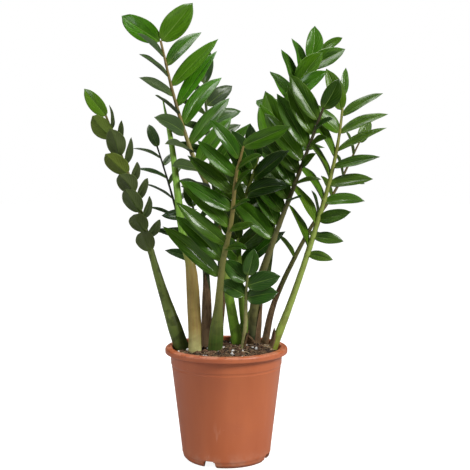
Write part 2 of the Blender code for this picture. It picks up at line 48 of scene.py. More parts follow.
# Pot
POT_HEIGHT = 0.155
LIP_RADIUS = 0.085
LIP_HEIGHT = 0.008
LIP_REACH = 0.0075
COLLAR_RADIUS = LIP_RADIUS - LIP_REACH
COLLAR_HEIGHT = 0.016
STEP = 0.0007
STEP_HEIGHT = POT_HEIGHT - LIP_HEIGHT - COLLAR_HEIGHT
BASE_RADIUS = 0.0605
BASE_EDGE = 0.0035
WALL = 0.0018
FOOT_WIDTH = 0.0022
FLOOR_RISE = 0.007
PAD_RADIUS = 0.02

# Drainage notches through the pot's lower edge
NOTCH_COUNT = 4
NOTCH_TURN = math.radians(22)
NOTCH_WIDTH = 0.0215
NOTCH_TOP_WIDTH = 0.0155
NOTCH_HEIGHT = 0.0095
NOTCH_DEPTH = 0.011

# Soil
SOIL_DROP = 0.006
SOIL_TOP = POT_HEIGHT - SOIL_DROP
SOIL_CROWN = 0.0035
ROOT_DEPTH = 0.012

# Plant
FOLIAGE_HEIGHT = 0.491
LEAF_LENGTH = 0.070
LEAF_WIDTH = 0.027
LEAF_THICKNESS = 0.0009
LEAF_NECK = 0.0012
LEAF_FOLD = math.radians(16)
LEAF_CURL = math.radians(20)
# How full a blade's outline is towards its neck and towards its tip: the larger, the more pointed.
LEAF_RISE = 0.62
LEAF_FALL = 0.82
STALK_GIRTH = 1.0
STALK_RINGS = 12
# How many points a stalk's middle line has, and how many steps between the ends of each part of it.
LINE_POINTS = 41
LINE_STEPS = 12
# How far chance moves a leaflet: in degrees, then as shares of its length and width and of its curl.
SWAY_FORWARD = 6
SWAY_LIFT = 8
SWAY_TILT = 12
SWAY_PITCH = 5
SWAY_SIZE = 0.08
SWAY_CURL = 0.6

# Fits
GAP = 0.0003
LEAF_SPACE = 0.0011
# A blade's neck has no room of its own up to the first share of its length, and its own stalk's room
# takes it up to the second.
NECK_SHARE = 0.04
FREE_SHARE = 0.1
ROOM_STATIONS = (0.35, 0.6, 0.85, 1.0)
ROOM_SIDES = 8
# A blade pitched by this many degrees has its neck turned this far round to the stalk's face.
FULL_PITCH = 14
FACE_TURN = math.radians(65)
# A blade that is one piece with its stalk has its neck this share of the stalk's radius from its axis.
NECK_DEPTH = 0.4
# The turns that are tried, in degrees, to find a blade a pose that is clear of what is in place.
TRY_FORWARD = (0, 8, -8, 18, 30)
TRY_LIFT = (0, 9, -9, 20, -20, 36, 52, -52, 75)
TRY_ROLL = (0, 20, -20, 45, -45)
TRY_PITCH = (0, 10, -10, 22, -22)

# The routes below are written in millimetres for foliage this high, and scale with FOLIAGE_HEIGHT. The
# girths are written for a pot with this radius inside at the soil, and scale with it.
ROUTE_HEIGHT = 0.495
GIRTH_ROOM = 0.075

Row = namedtuple("Row", "side count start end forward pitch length width lowest highest")
Tip = namedtuple("Tip", "swing length width")
Frond = namedtuple("Frond", "name root route girth facing lift tilt rows tips separate")

LEFT, RIGHT = -1, 1
# How fast the lowest and the highest blades' sizes fade into the rest of their row.
LOW_POWER, HIGH_POWER = 2, 3
# The two rows of a frond alternate: how far into its first step each row has its first blade.
ROW_START = {RIGHT: 0.25, LEFT: 0.7}

# One frond a stalk. Root: its place on the soil, where 1 is as near the pot's wall as the stalk can stand.
# Route: its middle line, measured from the root. Girth: (share of its length, radius in mm).
# Facing: the compass turn of its upper side, 0 to the front, 90 to the right. Lift: how far both rows
# fold up towards that side. Tilt: how far the blades turn to face the stalk's tip. In a row, forward is
# the angle between leaflet and stalk, pitch leans the blades' tips out to the upper side, and lowest and
# highest scale its two ends. Lengths and widths are shares of LEAF_LENGTH and LEAF_WIDTH. Degrees
# throughout.
FRONDS = (
    Frond(
        "far_left",
        (-1.01, 0.07),
        ((-28, 14, 80), (-48, 26, 144), (-71, 40, 222), (-113, 54, 332)),
        ((0, 10.6), (0.1, 10), (0.2, 7.4), (0.42, 4.4), (0.6, 3), (1, 1.6)),
        165, -30, 0,
        (
            Row(RIGHT, 7, 0.39, 0.97, 6, -22, 0.74, 1.12, 0.9, 0.95),
            Row(LEFT, 7, 0.42, 0.97, 50, 0, 0.66, 0.6, 1.0, 0.8),
        ),
        (Tip(-14, 0.76, 0.88),),
        6,
    ),
    Frond(
        "spear",
        (-0.67, -0.26),
        ((-1, 6, 45), (-6, 16, 115), (-14, 21, 145), (-22, 31, 191), (-34, 51, 284), (-48, 66, 353)),
        ((0, 9), (0.2, 9.2), (0.33, 7.8), (0.36, 5.6), (0.6, 5.2), (0.85, 3.8), (1, 0.8)),
        0, 0, 0, (), (), 0,
    ),
    Frond(
        "tallest",
        (0.25, 0.44),
        ((-14, 8, 78), (-36, 16, 205), (-66, 22, 276), (-92, 29, 357), (-112, 37, 440)),
        ((0, 8), (0.1, 7.2), (0.2, 6), (0.5, 3.4), (1, 1.6)),
        32, 20, 26,
        (
            Row(RIGHT, 8, 0.44, 0.97, 48, 0, 1.42, 1.02, 1.16, 0.84),
            Row(LEFT, 8, 0.46, 0.97, 38, 0, 0.8, 1.05, 1.1, 0.95),
        ),
        (Tip(36, 0.97, 1.45), Tip(-42, 0.95, 1.35)),
        8,
    ),
    Frond(
        "front",
        (-0.25, -0.2),
        ((5, -14, 62), (11, -36, 125), (23, -48, 184), (29, -58, 242), (39, -68, 282)),
        ((0, 10), (0.08, 10.2), (0.14, 8.8), (0.2, 6.2), (0.3, 5), (0.45, 3.9), (1, 1.5)),
        -33, 40, 24,
        (
            Row(LEFT, 8, 0.33, 0.97, 48, 0, 1.14, 0.86, 1.3, 0.7),
            Row(RIGHT, 5, 0.5, 0.97, 36, 0, 0.74, 0.7, 0.9, 0.9),
        ),
        (Tip(50, 0.9, 0.9),),
        6,
    ),
    Frond(
        "dark_right",
        (0.6, 0.22),
        ((4, -8, 78), (26, -20, 152), (58, -34, 240), (92, -49, 335)),
        ((0, 9.4), (0.1, 9), (0.2, 6.8), (0.5, 3.4), (1, 1.8)),
        -42, 34, 26,
        (
            Row(LEFT, 10, 0.42, 0.97, 44, 0, 1.28, 1.12, 0.85, 0.72),
            Row(RIGHT, 5, 0.6, 0.97, 40, 0, 0.66, 0.7, 0.9, 0.9),
        ),
        (Tip(8, 0.64, 1.05),),
        7,
    ),
    Frond(
        "far_right",
        (0.98, -0.03),
        ((26, 11, 64), (52, 20, 138), (81, 32, 230), (97, 44, 300), (105, 56, 362)),
        ((0, 6.5), (0.2, 4.6), (0.6, 3.2), (1, 1.4)),
        -4, 25, 24,
        (
            Row(RIGHT, 9, 0.36, 0.97, 52, 0, 1.16, 0.95, 0.4, 0.75),
            Row(LEFT, 7, 0.34, 0.97, 30, 0, 1.1, 1.3, 0.85, 0.7),
        ),
        (Tip(0, 0.58, 0.5),),
        7,
    ),
    Frond(
        "back_right",
        (0.17, 0.96),
        ((44, 20, 77), (62, 44, 211), (80, 66, 322), (103, 78, 396), (134, 90, 438)),
        ((0, 8), (0.2, 6), (0.6, 3.6), (1, 1.5)),
        0, 14, 16,
        (
            Row(RIGHT, 7, 0.54, 0.97, 20, 12, 1.0, 1.3, 1.0, 0.8),
            Row(LEFT, 8, 0.54, 0.97, 26, 0, 1.06, 1.3, 1.05, 0.75),
        ),
        (Tip(18, 0.62, 0.6),),
        5,
    ),
    Frond(
        "rear_right",
        (0.82, 0.59),
        ((11, 12, 49), (31, 26, 96), (69, 44, 166), (107, 56, 222), (145, 68, 296)),
        ((0, 5.5), (0.2, 4), (0.6, 2.6), (1, 1.2)),
        20, 30, 40,
        (
            Row(RIGHT, 5, 0.5, 0.97, 32, 0, 0.56, 0.7, 0.9, 0.9),
            Row(LEFT, 6, 0.33, 0.97, 42, 0, 0.6, 0.85, 1.0, 0.9),
        ),
        (Tip(0, 0.58, 0.68),),
        0,
    ),
    Frond(
        "low_front",
        (0.32, -0.23),
        ((4, -6, 43), (5, -12, 88), (7, -18, 110)),
        ((0, 3.2), (0.5, 2.4), (1, 1.6)),
        0, 20, 30,
        (
            Row(RIGHT, 2, 0.66, 0.97, 60, 0, 0.64, 1.0, 1.0, 1.0),
            Row(LEFT, 2, 0.6, 0.97, 40, 0, 0.58, 1.0, 1.0, 1.0),
        ),
        (Tip(10, 0.52, 0.9),),
        0,
    ),
    Frond(
        "wiry_left",
        (-0.54, 0.66),
        ((-12, 22, 77), (-28, 40, 136), (-39, 51, 193), (-54, 64, 244), (-69, 74, 290)),
        ((0, 3), (0.3, 2.2), (1, 1.2)),
        30, 10, 40,
        (
            Row(RIGHT, 5, 0.48, 0.97, 40, 0, 0.62, 0.5, 1.0, 0.8),
            Row(LEFT, 5, 0.44, 0.97, 52, 0, 0.72, 0.6, 1.0, 0.8),
        ),
        (Tip(0, 0.58, 0.72),),
        0,
    ),
    Frond(
        "behind_spear",
        (-0.44, 0.26),
        ((1, 10, 70), (-3, 20, 125), (-20, 36, 200)),
        ((0, 7.5), (0.3, 6.4), (0.6, 4), (1, 1.5)),
        -20, 20, 30,
        (
            Row(RIGHT, 3, 0.55, 0.97, 45, 0, 0.8, 0.9, 1.0, 0.9),
            Row(LEFT, 3, 0.5, 0.97, 60, 0, 0.88, 0.76, 1.0, 0.9),
        ),
        (Tip(0, 0.66, 0.8),),
        0,
    ),
    Frond(
        "middle",
        (0.44, 0.6),
        ((-9, -8, 80), (-12, -20, 155), (-4, -28, 210), (6, -36, 240), (15, -42, 270)),
        ((0, 6.5), (0.3, 4.4), (0.7, 3), (1, 1.6)),
        0, 20, 10,
        (
            Row(RIGHT, 6, 0.4, 0.97, 36, 0, 1.2, 1.15, 0.9, 0.8),
            Row(LEFT, 6, 0.4, 0.97, 32, 0, 1.2, 1.15, 0.9, 0.8),
        ),
        (Tip(0, 0.7, 0.9),),
        3,
    ),
    Frond(
        "behind_tallest",
        (-0.19, 0.93),
        ((4, 20, 100), (-6, 34, 220), (-16, 44, 320), (-22, 50, 385)),
        ((0, 6.5), (0.3, 4.4), (0.7, 3), (1, 1.4)),
        30, 25, 20,
        (
            Row(RIGHT, 7, 0.45, 0.97, 46, 0, 0.84, 0.96, 0.95, 0.8),
            Row(LEFT, 6, 0.5, 0.97, 56, 0, 0.85, 0.9, 0.9, 0.8),
        ),
        (Tip(15, 0.7, 0.9),),
        3,
    ),
)


# ---------------------------------------------------------------- where the stalks and leaflets go


def compass(degrees):
    """The level direction at this turn from the front, towards the right."""
    angle = math.radians(degrees)
    return Vector((math.sin(angle), -math.cos(angle), 0))


def inner_radius(height):
    """The inside of the pot's wall at this height."""
    if height >= STEP_HEIGHT:
        return COLLAR_RADIUS - STEP - WALL
    return BASE_RADIUS + (COLLAR_RADIUS - 2 * STEP - BASE_RADIUS) * height / STEP_HEIGHT - WALL


def between(pairs, share):
    """The value at a share along a list of (share, value) pairs."""
    for (low, before), (high, after) in zip(pairs, pairs[1:]):
        if share <= high:
            return before + (after - before) * (share - low) / (high - low)
    return pairs[-1][1]


def girth_scale():
    """What turns a girth in the list of fronds into a radius in metres."""
    return STALK_GIRTH * inner_radius(SOIL_TOP) / GIRTH_ROOM / 1000


def smooth_route(frond, count):
    """Evenly spaced points along the frond's route, as a Catmull-Rom curve, from the soil's surface up."""
    steps = [Vector(step) * (FOLIAGE_HEIGHT / ROUTE_HEIGHT / 1000) for step in frond.route]
    lean = steps[0].xy.length / steps[0].z * SOIL_DROP
    room = inner_radius(SOIL_TOP) - frond.girth[0][1] * girth_scale() - lean - LEAF_SPACE
    root = Vector((frond.root[0] * room, frond.root[1] * room, SOIL_TOP))
    knots = [root, *(root + step for step in steps)]
    knots = [2 * knots[0] - knots[1], *knots, 2 * knots[-1] - knots[-2]]
    fine = []
    for a, b, c, d in zip(knots, knots[1:], knots[2:], knots[3:]):
        for step in range(LINE_STEPS):
            t = step / LINE_STEPS
            fine.append(
                (2 * b + (c - a) * t + (2 * a - 5 * b + 4 * c - d) * t**2
                 + (3 * b - a - 3 * c + d) * t**3) / 2
            )
    fine.append(knots[-2])
    along = [0.0]
    for before, after in zip(fine, fine[1:]):
        along.append(along[-1] + (after - before).length)
    points = []
    segment = 0
    for index in range(count):
        target = along[-1] * index / (count - 1)
        while segment < len(fine) - 2 and along[segment + 1] < target:
            segment += 1
        share = (target - along[segment]) / (along[segment + 1] - along[segment])
        points.append(fine[segment].lerp(fine[segment + 1], share))
    return points


class Stalk:
    """A frond's middle line, with its radius and its directions at any share of its length."""

    def __init__(self, frond):
        self.frond = frond
        self.points = smooth_route(frond, LINE_POINTS)

    def radius(self, share):
        return between(self.frond.girth, share) * girth_scale()

    def place(self, share, facing=None):
        """The point, the direction along the stalk, its upper side and its right side."""
        spot = share * (len(self.points) - 1)
        index = min(int(spot), len(self.points) - 2)
        point = self.points[index].lerp(self.points[index + 1], spot - index)
        ahead = self.points[min(index + 2, len(self.points) - 1)]
        along = (ahead - self.points[max(index - 1, 0)]).normalized()
        upper = compass(self.frond.facing if facing is None else facing)
        upper = (upper - along * along.dot(upper)).normalized()
        return point, along, upper, along.cross(upper)

    def rings(self, spread):
        """(point, radius) of each ring, from the root's end in the soil up."""
        below = self.points[0] - Vector((0, 0, ROOT_DEPTH))
        found = [(below, self.radius(0) + spread)]
        for index in range(STALK_RINGS + 1):
            share = index / STALK_RINGS
            point = self.place(share)[0]
            found.append((point, self.radius(share) + spread))
        return found


Leaf = namedtuple("Leaf", "name base direction normal length width fold curl separate")


def outline(share):
    """Half the width of a blade at a share of its length, as a share of the greatest half width."""
    widest = LEAF_RISE / (LEAF_RISE + LEAF_FALL)
    return (share / widest) ** LEAF_RISE * ((1 - share) / (1 - widest)) ** LEAF_FALL


def blade_point(leaf, along, across, above=0.0, wider=0.0):
    """A point of the blade, at shares along it and across it, raised and spread out if wanted."""
    angle = leaf.curl * along
    forward = leaf.length * (math.sin(angle) / leaf.curl)
    sink = leaf.length * (1 - math.cos(angle)) / leaf.curl
    half = LEAF_NECK + (leaf.width / 2 - LEAF_NECK) * outline(along) + wider
    if along == 1.0:
        half = LEAF_NECK / 2 + wider
    side = leaf.normal.cross(leaf.direction)
    bent = leaf.normal * math.cos(angle) + leaf.direction * math.sin(angle)
    rise = abs(across) * half * math.sin(leaf.fold) + above
    return (
        leaf.base + leaf.direction * forward - leaf.normal * sink
        + bent * rise + side * (across * half * math.cos(leaf.fold))
    )


def room_around(leaf, start, space=LEAF_SPACE):
    """(points, faces) of a closed envelope around the blade from a share of its length."""
    stations = (start, *ROOM_STATIONS)
    above = LEAF_THICKNESS / 2 + space
    points = []
    for along in stations:
        for across, height in ((-1, -above), (-1, above), (0, above), (1, above), (1, -above), (0, -above)):
            points.append(blade_point(leaf, along, across, height, space))
    return points, loft_faces(len(stations), 6)


def loft_faces(rings, sides):
    """The faces that join rings of points, with both ends closed."""
    faces = [tuple(range(sides))[::-1]]
    for ring in range(rings - 1):
        for side in range(sides):
            after = (side + 1) % sides
            start = ring * sides
            faces.append((start + side, start + after, start + sides + after, start + sides + side))
    faces.append(tuple((rings - 1) * sides + side for side in range(sides)))
    return faces


def stalk_room(stalk, space):
    """(points, faces) of a tube around the stalk."""
    points = []
    rings = stalk.rings(space)
    for index, (point, radius) in enumerate(rings):
        share = max(0, index - 1) / STALK_RINGS
        _, _, upper, right = stalk.place(share)
        for side in range(ROOM_SIDES):
            angle = 2 * math.pi * side / ROOM_SIDES
            points.append(point + (upper * math.cos(angle) + right * math.sin(angle)) * radius)
    return points, loft_faces(len(rings), ROOM_SIDES)


class Room:
    """Closed envelopes of what is already in place, to find each new blade a pose that is clear of them."""

    def __init__(self):
        self.points = []
        self.faces = []
        self.tree = None

    def add(self, points, faces):
        start = len(self.points)
        self.points += points
        self.faces += [tuple(start + corner for corner in face) for face in faces]
        self.tree = BVHTree.FromPolygons(self.points, self.faces)

    def hits(self, points, faces):
        """How many pairs of faces cross."""
        if self.tree is None:
            return 0
        return len(self.tree.overlap(BVHTree.FromPolygons(points, faces)))


def tries():
    """Small turns (forward, lift, roll, pitch) away from the wanted pose, the smallest first."""
    found = itertools.product(TRY_FORWARD, TRY_LIFT, TRY_ROLL, TRY_PITCH)
    return sorted(found, key=lambda turn: (sum(angle**2 for angle in turn), turn))


def pose(stalk, share, side, forward, lift, tilt, pitch, face, joined):
    """The base, direction and upper side of a blade at this share of the stalk. Face is the row's pitch."""
    # The leaflets at the very tip face the front on every frond.
    point, along, upper, right = stalk.place(share, 0 if share == 1.0 else None)
    forward, lift, tilt, pitch = (math.radians(value) for value in (forward, lift, tilt, pitch))
    outward = right * (side * math.cos(lift)) + upper * math.sin(lift)
    direction = (along * math.cos(forward) + outward * math.sin(forward)).normalized()
    flat = upper * math.cos(lift) - right * (side * math.sin(lift))
    flat = (flat - direction * direction.dot(flat)).normalized()
    to_tip = (along - direction * direction.dot(along)).normalized()
    normal = (flat * math.cos(tilt) + to_tip * math.sin(tilt)).normalized()
    leaning = direction * math.cos(pitch) + normal * math.sin(pitch)
    normal = normal * math.cos(pitch) - direction * math.sin(pitch)
    # Where the blades lean out, their necks start round on that face of the stalk.
    round_by = math.copysign(min(abs(face) / FULL_PITCH, 1) * FACE_TURN, face)
    from_axis = outward * math.cos(round_by) + upper * math.sin(round_by)
    radius = stalk.radius(share)
    base = point + from_axis * (radius * NECK_DEPTH if joined else radius + GAP + LEAF_NECK)
    return base, leaning, normal


def wanted_leaves(stalk):
    """(share, side, forward, lift, tilt, pitch, length, width) of the frond's blades, from its root up."""
    frond = stalk.frond
    wanted = []
    for row in frond.rows:
        for index in range(row.count):
            step = (index + ROW_START[row.side]) / row.count
            share = row.start + (row.end - row.start) * step
            size = 1 + (row.lowest - 1) * (1 - step) ** LOW_POWER + (row.highest - 1) * step**HIGH_POWER
            wanted.append((share, row.side, row.forward, frond.lift, frond.tilt, row.pitch,
                           row.length * size, row.width * (1 + size) / 2))
    wanted.sort()
    for tip in frond.tips:
        side = RIGHT if tip.swing > 0 else LEFT
        wanted.append((1.0, side, abs(tip.swing), 0, 0, 0, tip.length, tip.width))
    return wanted


def grow(stalks):
    """Every leaflet of the plant, each clear of the stalks and of the leaflets before it."""
    leaf_rooms = Room()
    leaves = []
    turns = tries()
    for stalk in stalks:
        other_stalks = Room()
        for other in stalks:
            if other is not stalk:
                other_stalks.add(*stalk_room(other, LEAF_SPACE))
        own_stalk = Room()
        own_stalk.add(*stalk_room(stalk, GAP))
        wanted = wanted_leaves(stalk)
        chance = random.Random(stalk.frond.name)
        for index in reversed(range(len(wanted))):
            share, side, forward, lift, tilt, pitch, length, width = wanted[index]
            separate = index >= len(wanted) - stalk.frond.separate
            at_tip = share == 1.0
            joined = not separate and not at_tip
            sway = [chance.uniform(-1, 1) for _ in range(7)]
            best = None
            for more_forward, more_lift, roll, more_pitch in turns:
                base, direction, normal = pose(
                    stalk, share, side,
                    forward + more_forward + SWAY_FORWARD * sway[0],
                    lift + more_lift + SWAY_LIFT * sway[1],
                    tilt + roll + SWAY_TILT * sway[2],
                    pitch + more_pitch + SWAY_PITCH * sway[3],
                    pitch, joined,
                )
                if at_tip:
                    apart = (LEAF_NECK + LEAF_SPACE) * (len(stalk.frond.tips) - 1)
                    base = stalk.points[-1] + direction * (GAP + LEAF_NECK if separate else -LEAF_NECK)
                    base += stalk.place(share, 0)[3] * side * apart
                leaf = Leaf(
                    f"leaflet_{stalk.frond.name}_{index + 1:02d}",
                    base, direction, normal,
                    length * LEAF_LENGTH * (1 + SWAY_SIZE * sway[4]),
                    width * LEAF_WIDTH * (1 + SWAY_SIZE * sway[5]),
                    LEAF_FOLD,
                    LEAF_CURL * (1 + SWAY_CURL * sway[6]),
                    separate,
                )
                hits = leaf_rooms.hits(*room_around(leaf, NECK_SHARE))
                hits += other_stalks.hits(*room_around(leaf, NECK_SHARE))
                hits += own_stalk.hits(*room_around(leaf, FREE_SHARE, GAP))
                if best is None or hits < best[0]:
                    best = (hits, leaf)
                if not hits:
                    break
            leaves.append((stalk, best[1]))
            leaf_rooms.add(*room_around(best[1], NECK_SHARE))
    return leaves


# ---------------------------------------------------------------- objects and meshes

# Points nearer to each other than this are one.
MERGE = 0.00001


def placed(name, data):
    """A new object of this mesh, lamp or lens, in the scene."""
    obj = bpy.data.objects.new(name, data)
    bpy.context.scene.collection.objects.link(obj)
    return obj


def closed_mesh(name, shape, material=None):
    """The bmesh as a mesh, its faces turned outwards."""
    bmesh.ops.recalc_face_normals(shape, faces=shape.faces[:])
    mesh = bpy.data.meshes.new(name)
    shape.to_mesh(mesh)
    shape.free()
    if material:
        mesh.materials.append(material)
    return mesh


def evaluated(obj):
    """A plain mesh of the object as its modifiers leave it."""
    bpy.context.view_layer.update()
    return bpy.data.meshes.new_from_object(obj.evaluated_get(bpy.context.evaluated_depsgraph_get()))


# ---------------------------------------------------------------- nodes written as expressions


def find_socket(sockets, key):
    """The shown socket with this place or name."""
    shown = [socket for socket in sockets if socket.enabled]
    if isinstance(key, int):
        return shown[key]
    return next(socket for socket in shown if socket.name == key)


class Value:
    """A node's output, for use in sums: each operator adds the node that works it out."""

    def __init__(self, nodes, socket):
        self.nodes = nodes
        self.socket = socket

    def __add__(self, other):
        return self.nodes.maths("ADD", self, other)

    def __radd__(self, other):
        return self.nodes.maths("ADD", other, self)

    def __sub__(self, other):
        return self.nodes.maths("SUBTRACT", self, other)

    def __rsub__(self, other):
        return self.nodes.maths("SUBTRACT", other, self)

    def __mul__(self, other):
        return self.nodes.maths("MULTIPLY", self, other)

    def __rmul__(self, other):
        return self.nodes.maths("MULTIPLY", other, self)

    def __truediv__(self, other):
        return self.nodes.maths("DIVIDE", self, other)

    def __pow__(self, other):
        return self.nodes.maths("POWER", self, other)

    def __neg__(self):
        return self.nodes.maths("MULTIPLY", self, -1)

    def __gt__(self, other):
        return self.nodes.maths("GREATER_THAN", self, other)

    def __abs__(self):
        return self.nodes.maths("ABSOLUTE", self)

    def sin(self):
        return self.nodes.maths("SINE", self)

    def cos(self):
        return self.nodes.maths("COSINE", self)

    def fraction(self):
        return self.nodes.maths("FRACT", self)

    def cross(self, other):
        return self.nodes.maths("CROSS_PRODUCT", self, other)

    def rise(self, low, high):
        """0 below low, 1 above high, and smooth between."""
        return self.nodes.add(
            "ShaderNodeMapRange", {"interpolation_type": "SMOOTHSTEP"},
            {"Value": self, "From Min": low, "From Max": high},
        )


class Nodes:
    """Adds nodes to one tree."""

    def __init__(self, tree):
        self.tree = tree

    def add(self, kind, settings=(), values=(), output=0):
        """A node with its settings and then its inputs, as values or links. Returns one of its outputs."""
        node = self.tree.nodes.new(kind)
        for name, setting in dict(settings).items():
            if name == "stops":
                self.set_stops(node.color_ramp.elements, setting)
            else:
                setattr(node, name, setting)
        for key, value in dict(values).items():
            socket = find_socket(node.inputs, key)
            if isinstance(value, Value):
                self.tree.links.new(value.socket, socket)
            else:
                socket.default_value = value
        shown = [socket for socket in node.outputs if socket.enabled]
        return Value(self, find_socket(node.outputs, output)) if shown else node

    def set_stops(self, elements, stops):
        while len(elements) < len(stops):
            elements.new(0.5)
        for element, (place, colour) in zip(elements, stops):
            element.position = place
            element.color = (*colour, 1)

    def maths(self, operation, *values):
        if any(isinstance(value, Value) and value.socket.type == "VECTOR" for value in values):
            values = [value if isinstance(value, Value) else (value,) * 3 for value in values]
            return self.add("ShaderNodeVectorMath", {"operation": operation}, enumerate(values))
        return self.add("ShaderNodeMath", {"operation": operation}, enumerate(values))

    def vector(self, x, y, z):
        return self.add("ShaderNodeCombineXYZ", {}, {"X": x, "Y": y, "Z": z})

    def noise(self, scale, place=None, detail=2.0, roughness=0.5):
        values = {"Scale": scale, "Detail": detail, "Roughness": roughness}
        if place is not None:
            values["Vector"] = place
        return self.add("ShaderNodeTexNoise", {}, values)

    def mix(self, share, first, second):
        """A colour between two colours."""
        first, second = (
            (*colour, 1) if isinstance(colour, tuple) and len(colour) == 3 else colour
            for colour in (first, second)
        )
        return self.add("ShaderNodeMix", {"data_type": "RGBA"}, {"Factor": share, "A": first, "B": second})

    def ramp(self, share, stops):
        return self.add("ShaderNodeValToRGB", {"stops": stops}, {0: share})


class Form(Nodes):
    """A Geometry Nodes tree that a maker fills in, with named inputs."""

    def __init__(self, name, **sizes):
        super().__init__(bpy.data.node_groups.new(name, "GeometryNodeTree"))
        interface = self.tree.interface
        interface.new_socket("Geometry", in_out="INPUT", socket_type="NodeSocketGeometry")
        interface.new_socket("Geometry", in_out="OUTPUT", socket_type="NodeSocketGeometry")
        self.entry = self.tree.nodes.new("NodeGroupInput")
        for size, value in sizes.items():
            kind = "NodeSocketInt" if isinstance(value, int) else "NodeSocketFloat"
            interface.new_socket(size, in_out="INPUT", socket_type=kind).default_value = value
        self.source = self.given("Geometry")

    def given(self, name):
        return Value(self, find_socket(self.entry.outputs, name))

    def named(self, name, kind="FLOAT"):
        return self.add("GeometryNodeInputNamedAttribute", {"data_type": kind}, {"Name": name})

    def place(self):
        return self.add("GeometryNodeInputPosition")

    def store(self, geometry, name, value, domain="POINT"):
        return self.add(
            "GeometryNodeStoreNamedAttribute", {"data_type": "FLOAT", "domain": domain},
            {"Geometry": geometry, "Name": name, "Value": value},
        )

    def random(self, low, high, seed, kind="FLOAT"):
        return self.add(
            "FunctionNodeRandomValue", {"data_type": kind}, {"Min": low, "Max": high, "Seed": seed}
        )

    def end(self, geometry, material):
        """Realize Instances, smooth shading and the material."""
        real = self.add("GeometryNodeRealizeInstances", {}, {"Geometry": geometry})
        smooth = self.add("GeometryNodeSetShadeSmooth", {}, {"Geometry": real})
        done = self.add("GeometryNodeSetMaterial", {}, {"Geometry": smooth, "Material": material})
        exit_node = self.tree.nodes.new("NodeGroupOutput")
        self.tree.links.new(done.socket, exit_node.inputs[0])

    def apply(self, name, mesh, **sizes):
        """A plain object named so, with the mesh that this tree makes from the one given."""
        obj = placed(name, mesh)
        modifier = obj.modifiers.new("form", "NODES")
        modifier.node_group = self.tree
        for item in self.tree.interface.items_tree:
            if item.name in sizes:
                modifier[item.identifier] = sizes[item.name]
        made = evaluated(obj)
        obj.modifiers.remove(modifier)
        obj.data = made
        made.name = name
        return obj


class Finish(Nodes):
    """A material around one Principled shader."""

    def __init__(self, name, **constants):
        self.material = bpy.data.materials.new(name)
        self.material.use_nodes = True
        super().__init__(self.material.node_tree)
        self.shader = self.tree.nodes["Principled BSDF"]
        for socket, value in constants.items():
            self.shader.inputs[socket.replace("_", " ")].default_value = value

    def own(self, name):
        """A number stored on the piece's surface."""
        return self.add("ShaderNodeAttribute", {"attribute_name": name}, {}, "Fac")

    def here(self):
        return self.add("ShaderNodeTexCoord", {}, {}, "Object")

    def feed(self, name, value):
        self.tree.links.new(value.socket, self.shader.inputs[name])

    def bump(self, height, distance, strength=1.0):
        relief = self.add(
            "ShaderNodeBump", {}, {"Height": height, "Distance": distance, "Strength": strength}
        )
        self.feed("Normal", relief)


# ---------------------------------------------------------------- finishes


# Colours of the leaflets, in linear light
LEAF_BRIGHT = (0.036, 0.165, 0.0012)
# This dark green, and the dark underside green below, are partly the leaflets' own tone and partly painted
# shade.
LEAF_DARK_AND_SHADED = (0.0045, 0.019, 0.0009)
LEAF_YELLOWED = (0.1, 0.155, 0.006)
LEAF_SHADED = (0.006, 0.03, 0.0007)
LEAF_GREYED = (0.085, 0.105, 0.068)
BELLY_BRIGHT = (0.075, 0.12, 0.028)
BELLY_DARK_AND_SHADED = (0.022, 0.036, 0.014)
BELLY_YELLOWED = (0.15, 0.18, 0.03)
FOOT_GREEN = (0.15, 0.24, 0.03)
VEIN_GREEN = (0.19, 0.31, 0.05)
RIB_GREEN = (0.2, 0.32, 0.06)
# Pale margin green, partly the blade's own edge and partly a painted highlight along it.
MARGIN_AND_EDGE_HIGHLIGHT = (0.26, 0.34, 0.09)

# Colours of the pot's plastic, in linear light
CLAY_DARK = (0.42, 0.1, 0.031)
CLAY_LIGHT = (0.56, 0.155, 0.055)
CLAY_SHADED = (0.34, 0.078, 0.024)
CLAY_HAZE = (0.4, 0.105, 0.05)
DRIED_WATER = (0.66, 0.36, 0.25)
DUST = (0.52, 0.31, 0.21)
# Pale pink of the painted highlight on the lip's top.
LIP_TOP_HIGHLIGHT = (0.68, 0.34, 0.22)
WET_SOIL = (0.12, 0.05, 0.03)
SCRATCHED_CLAY = (0.62, 0.3, 0.19)


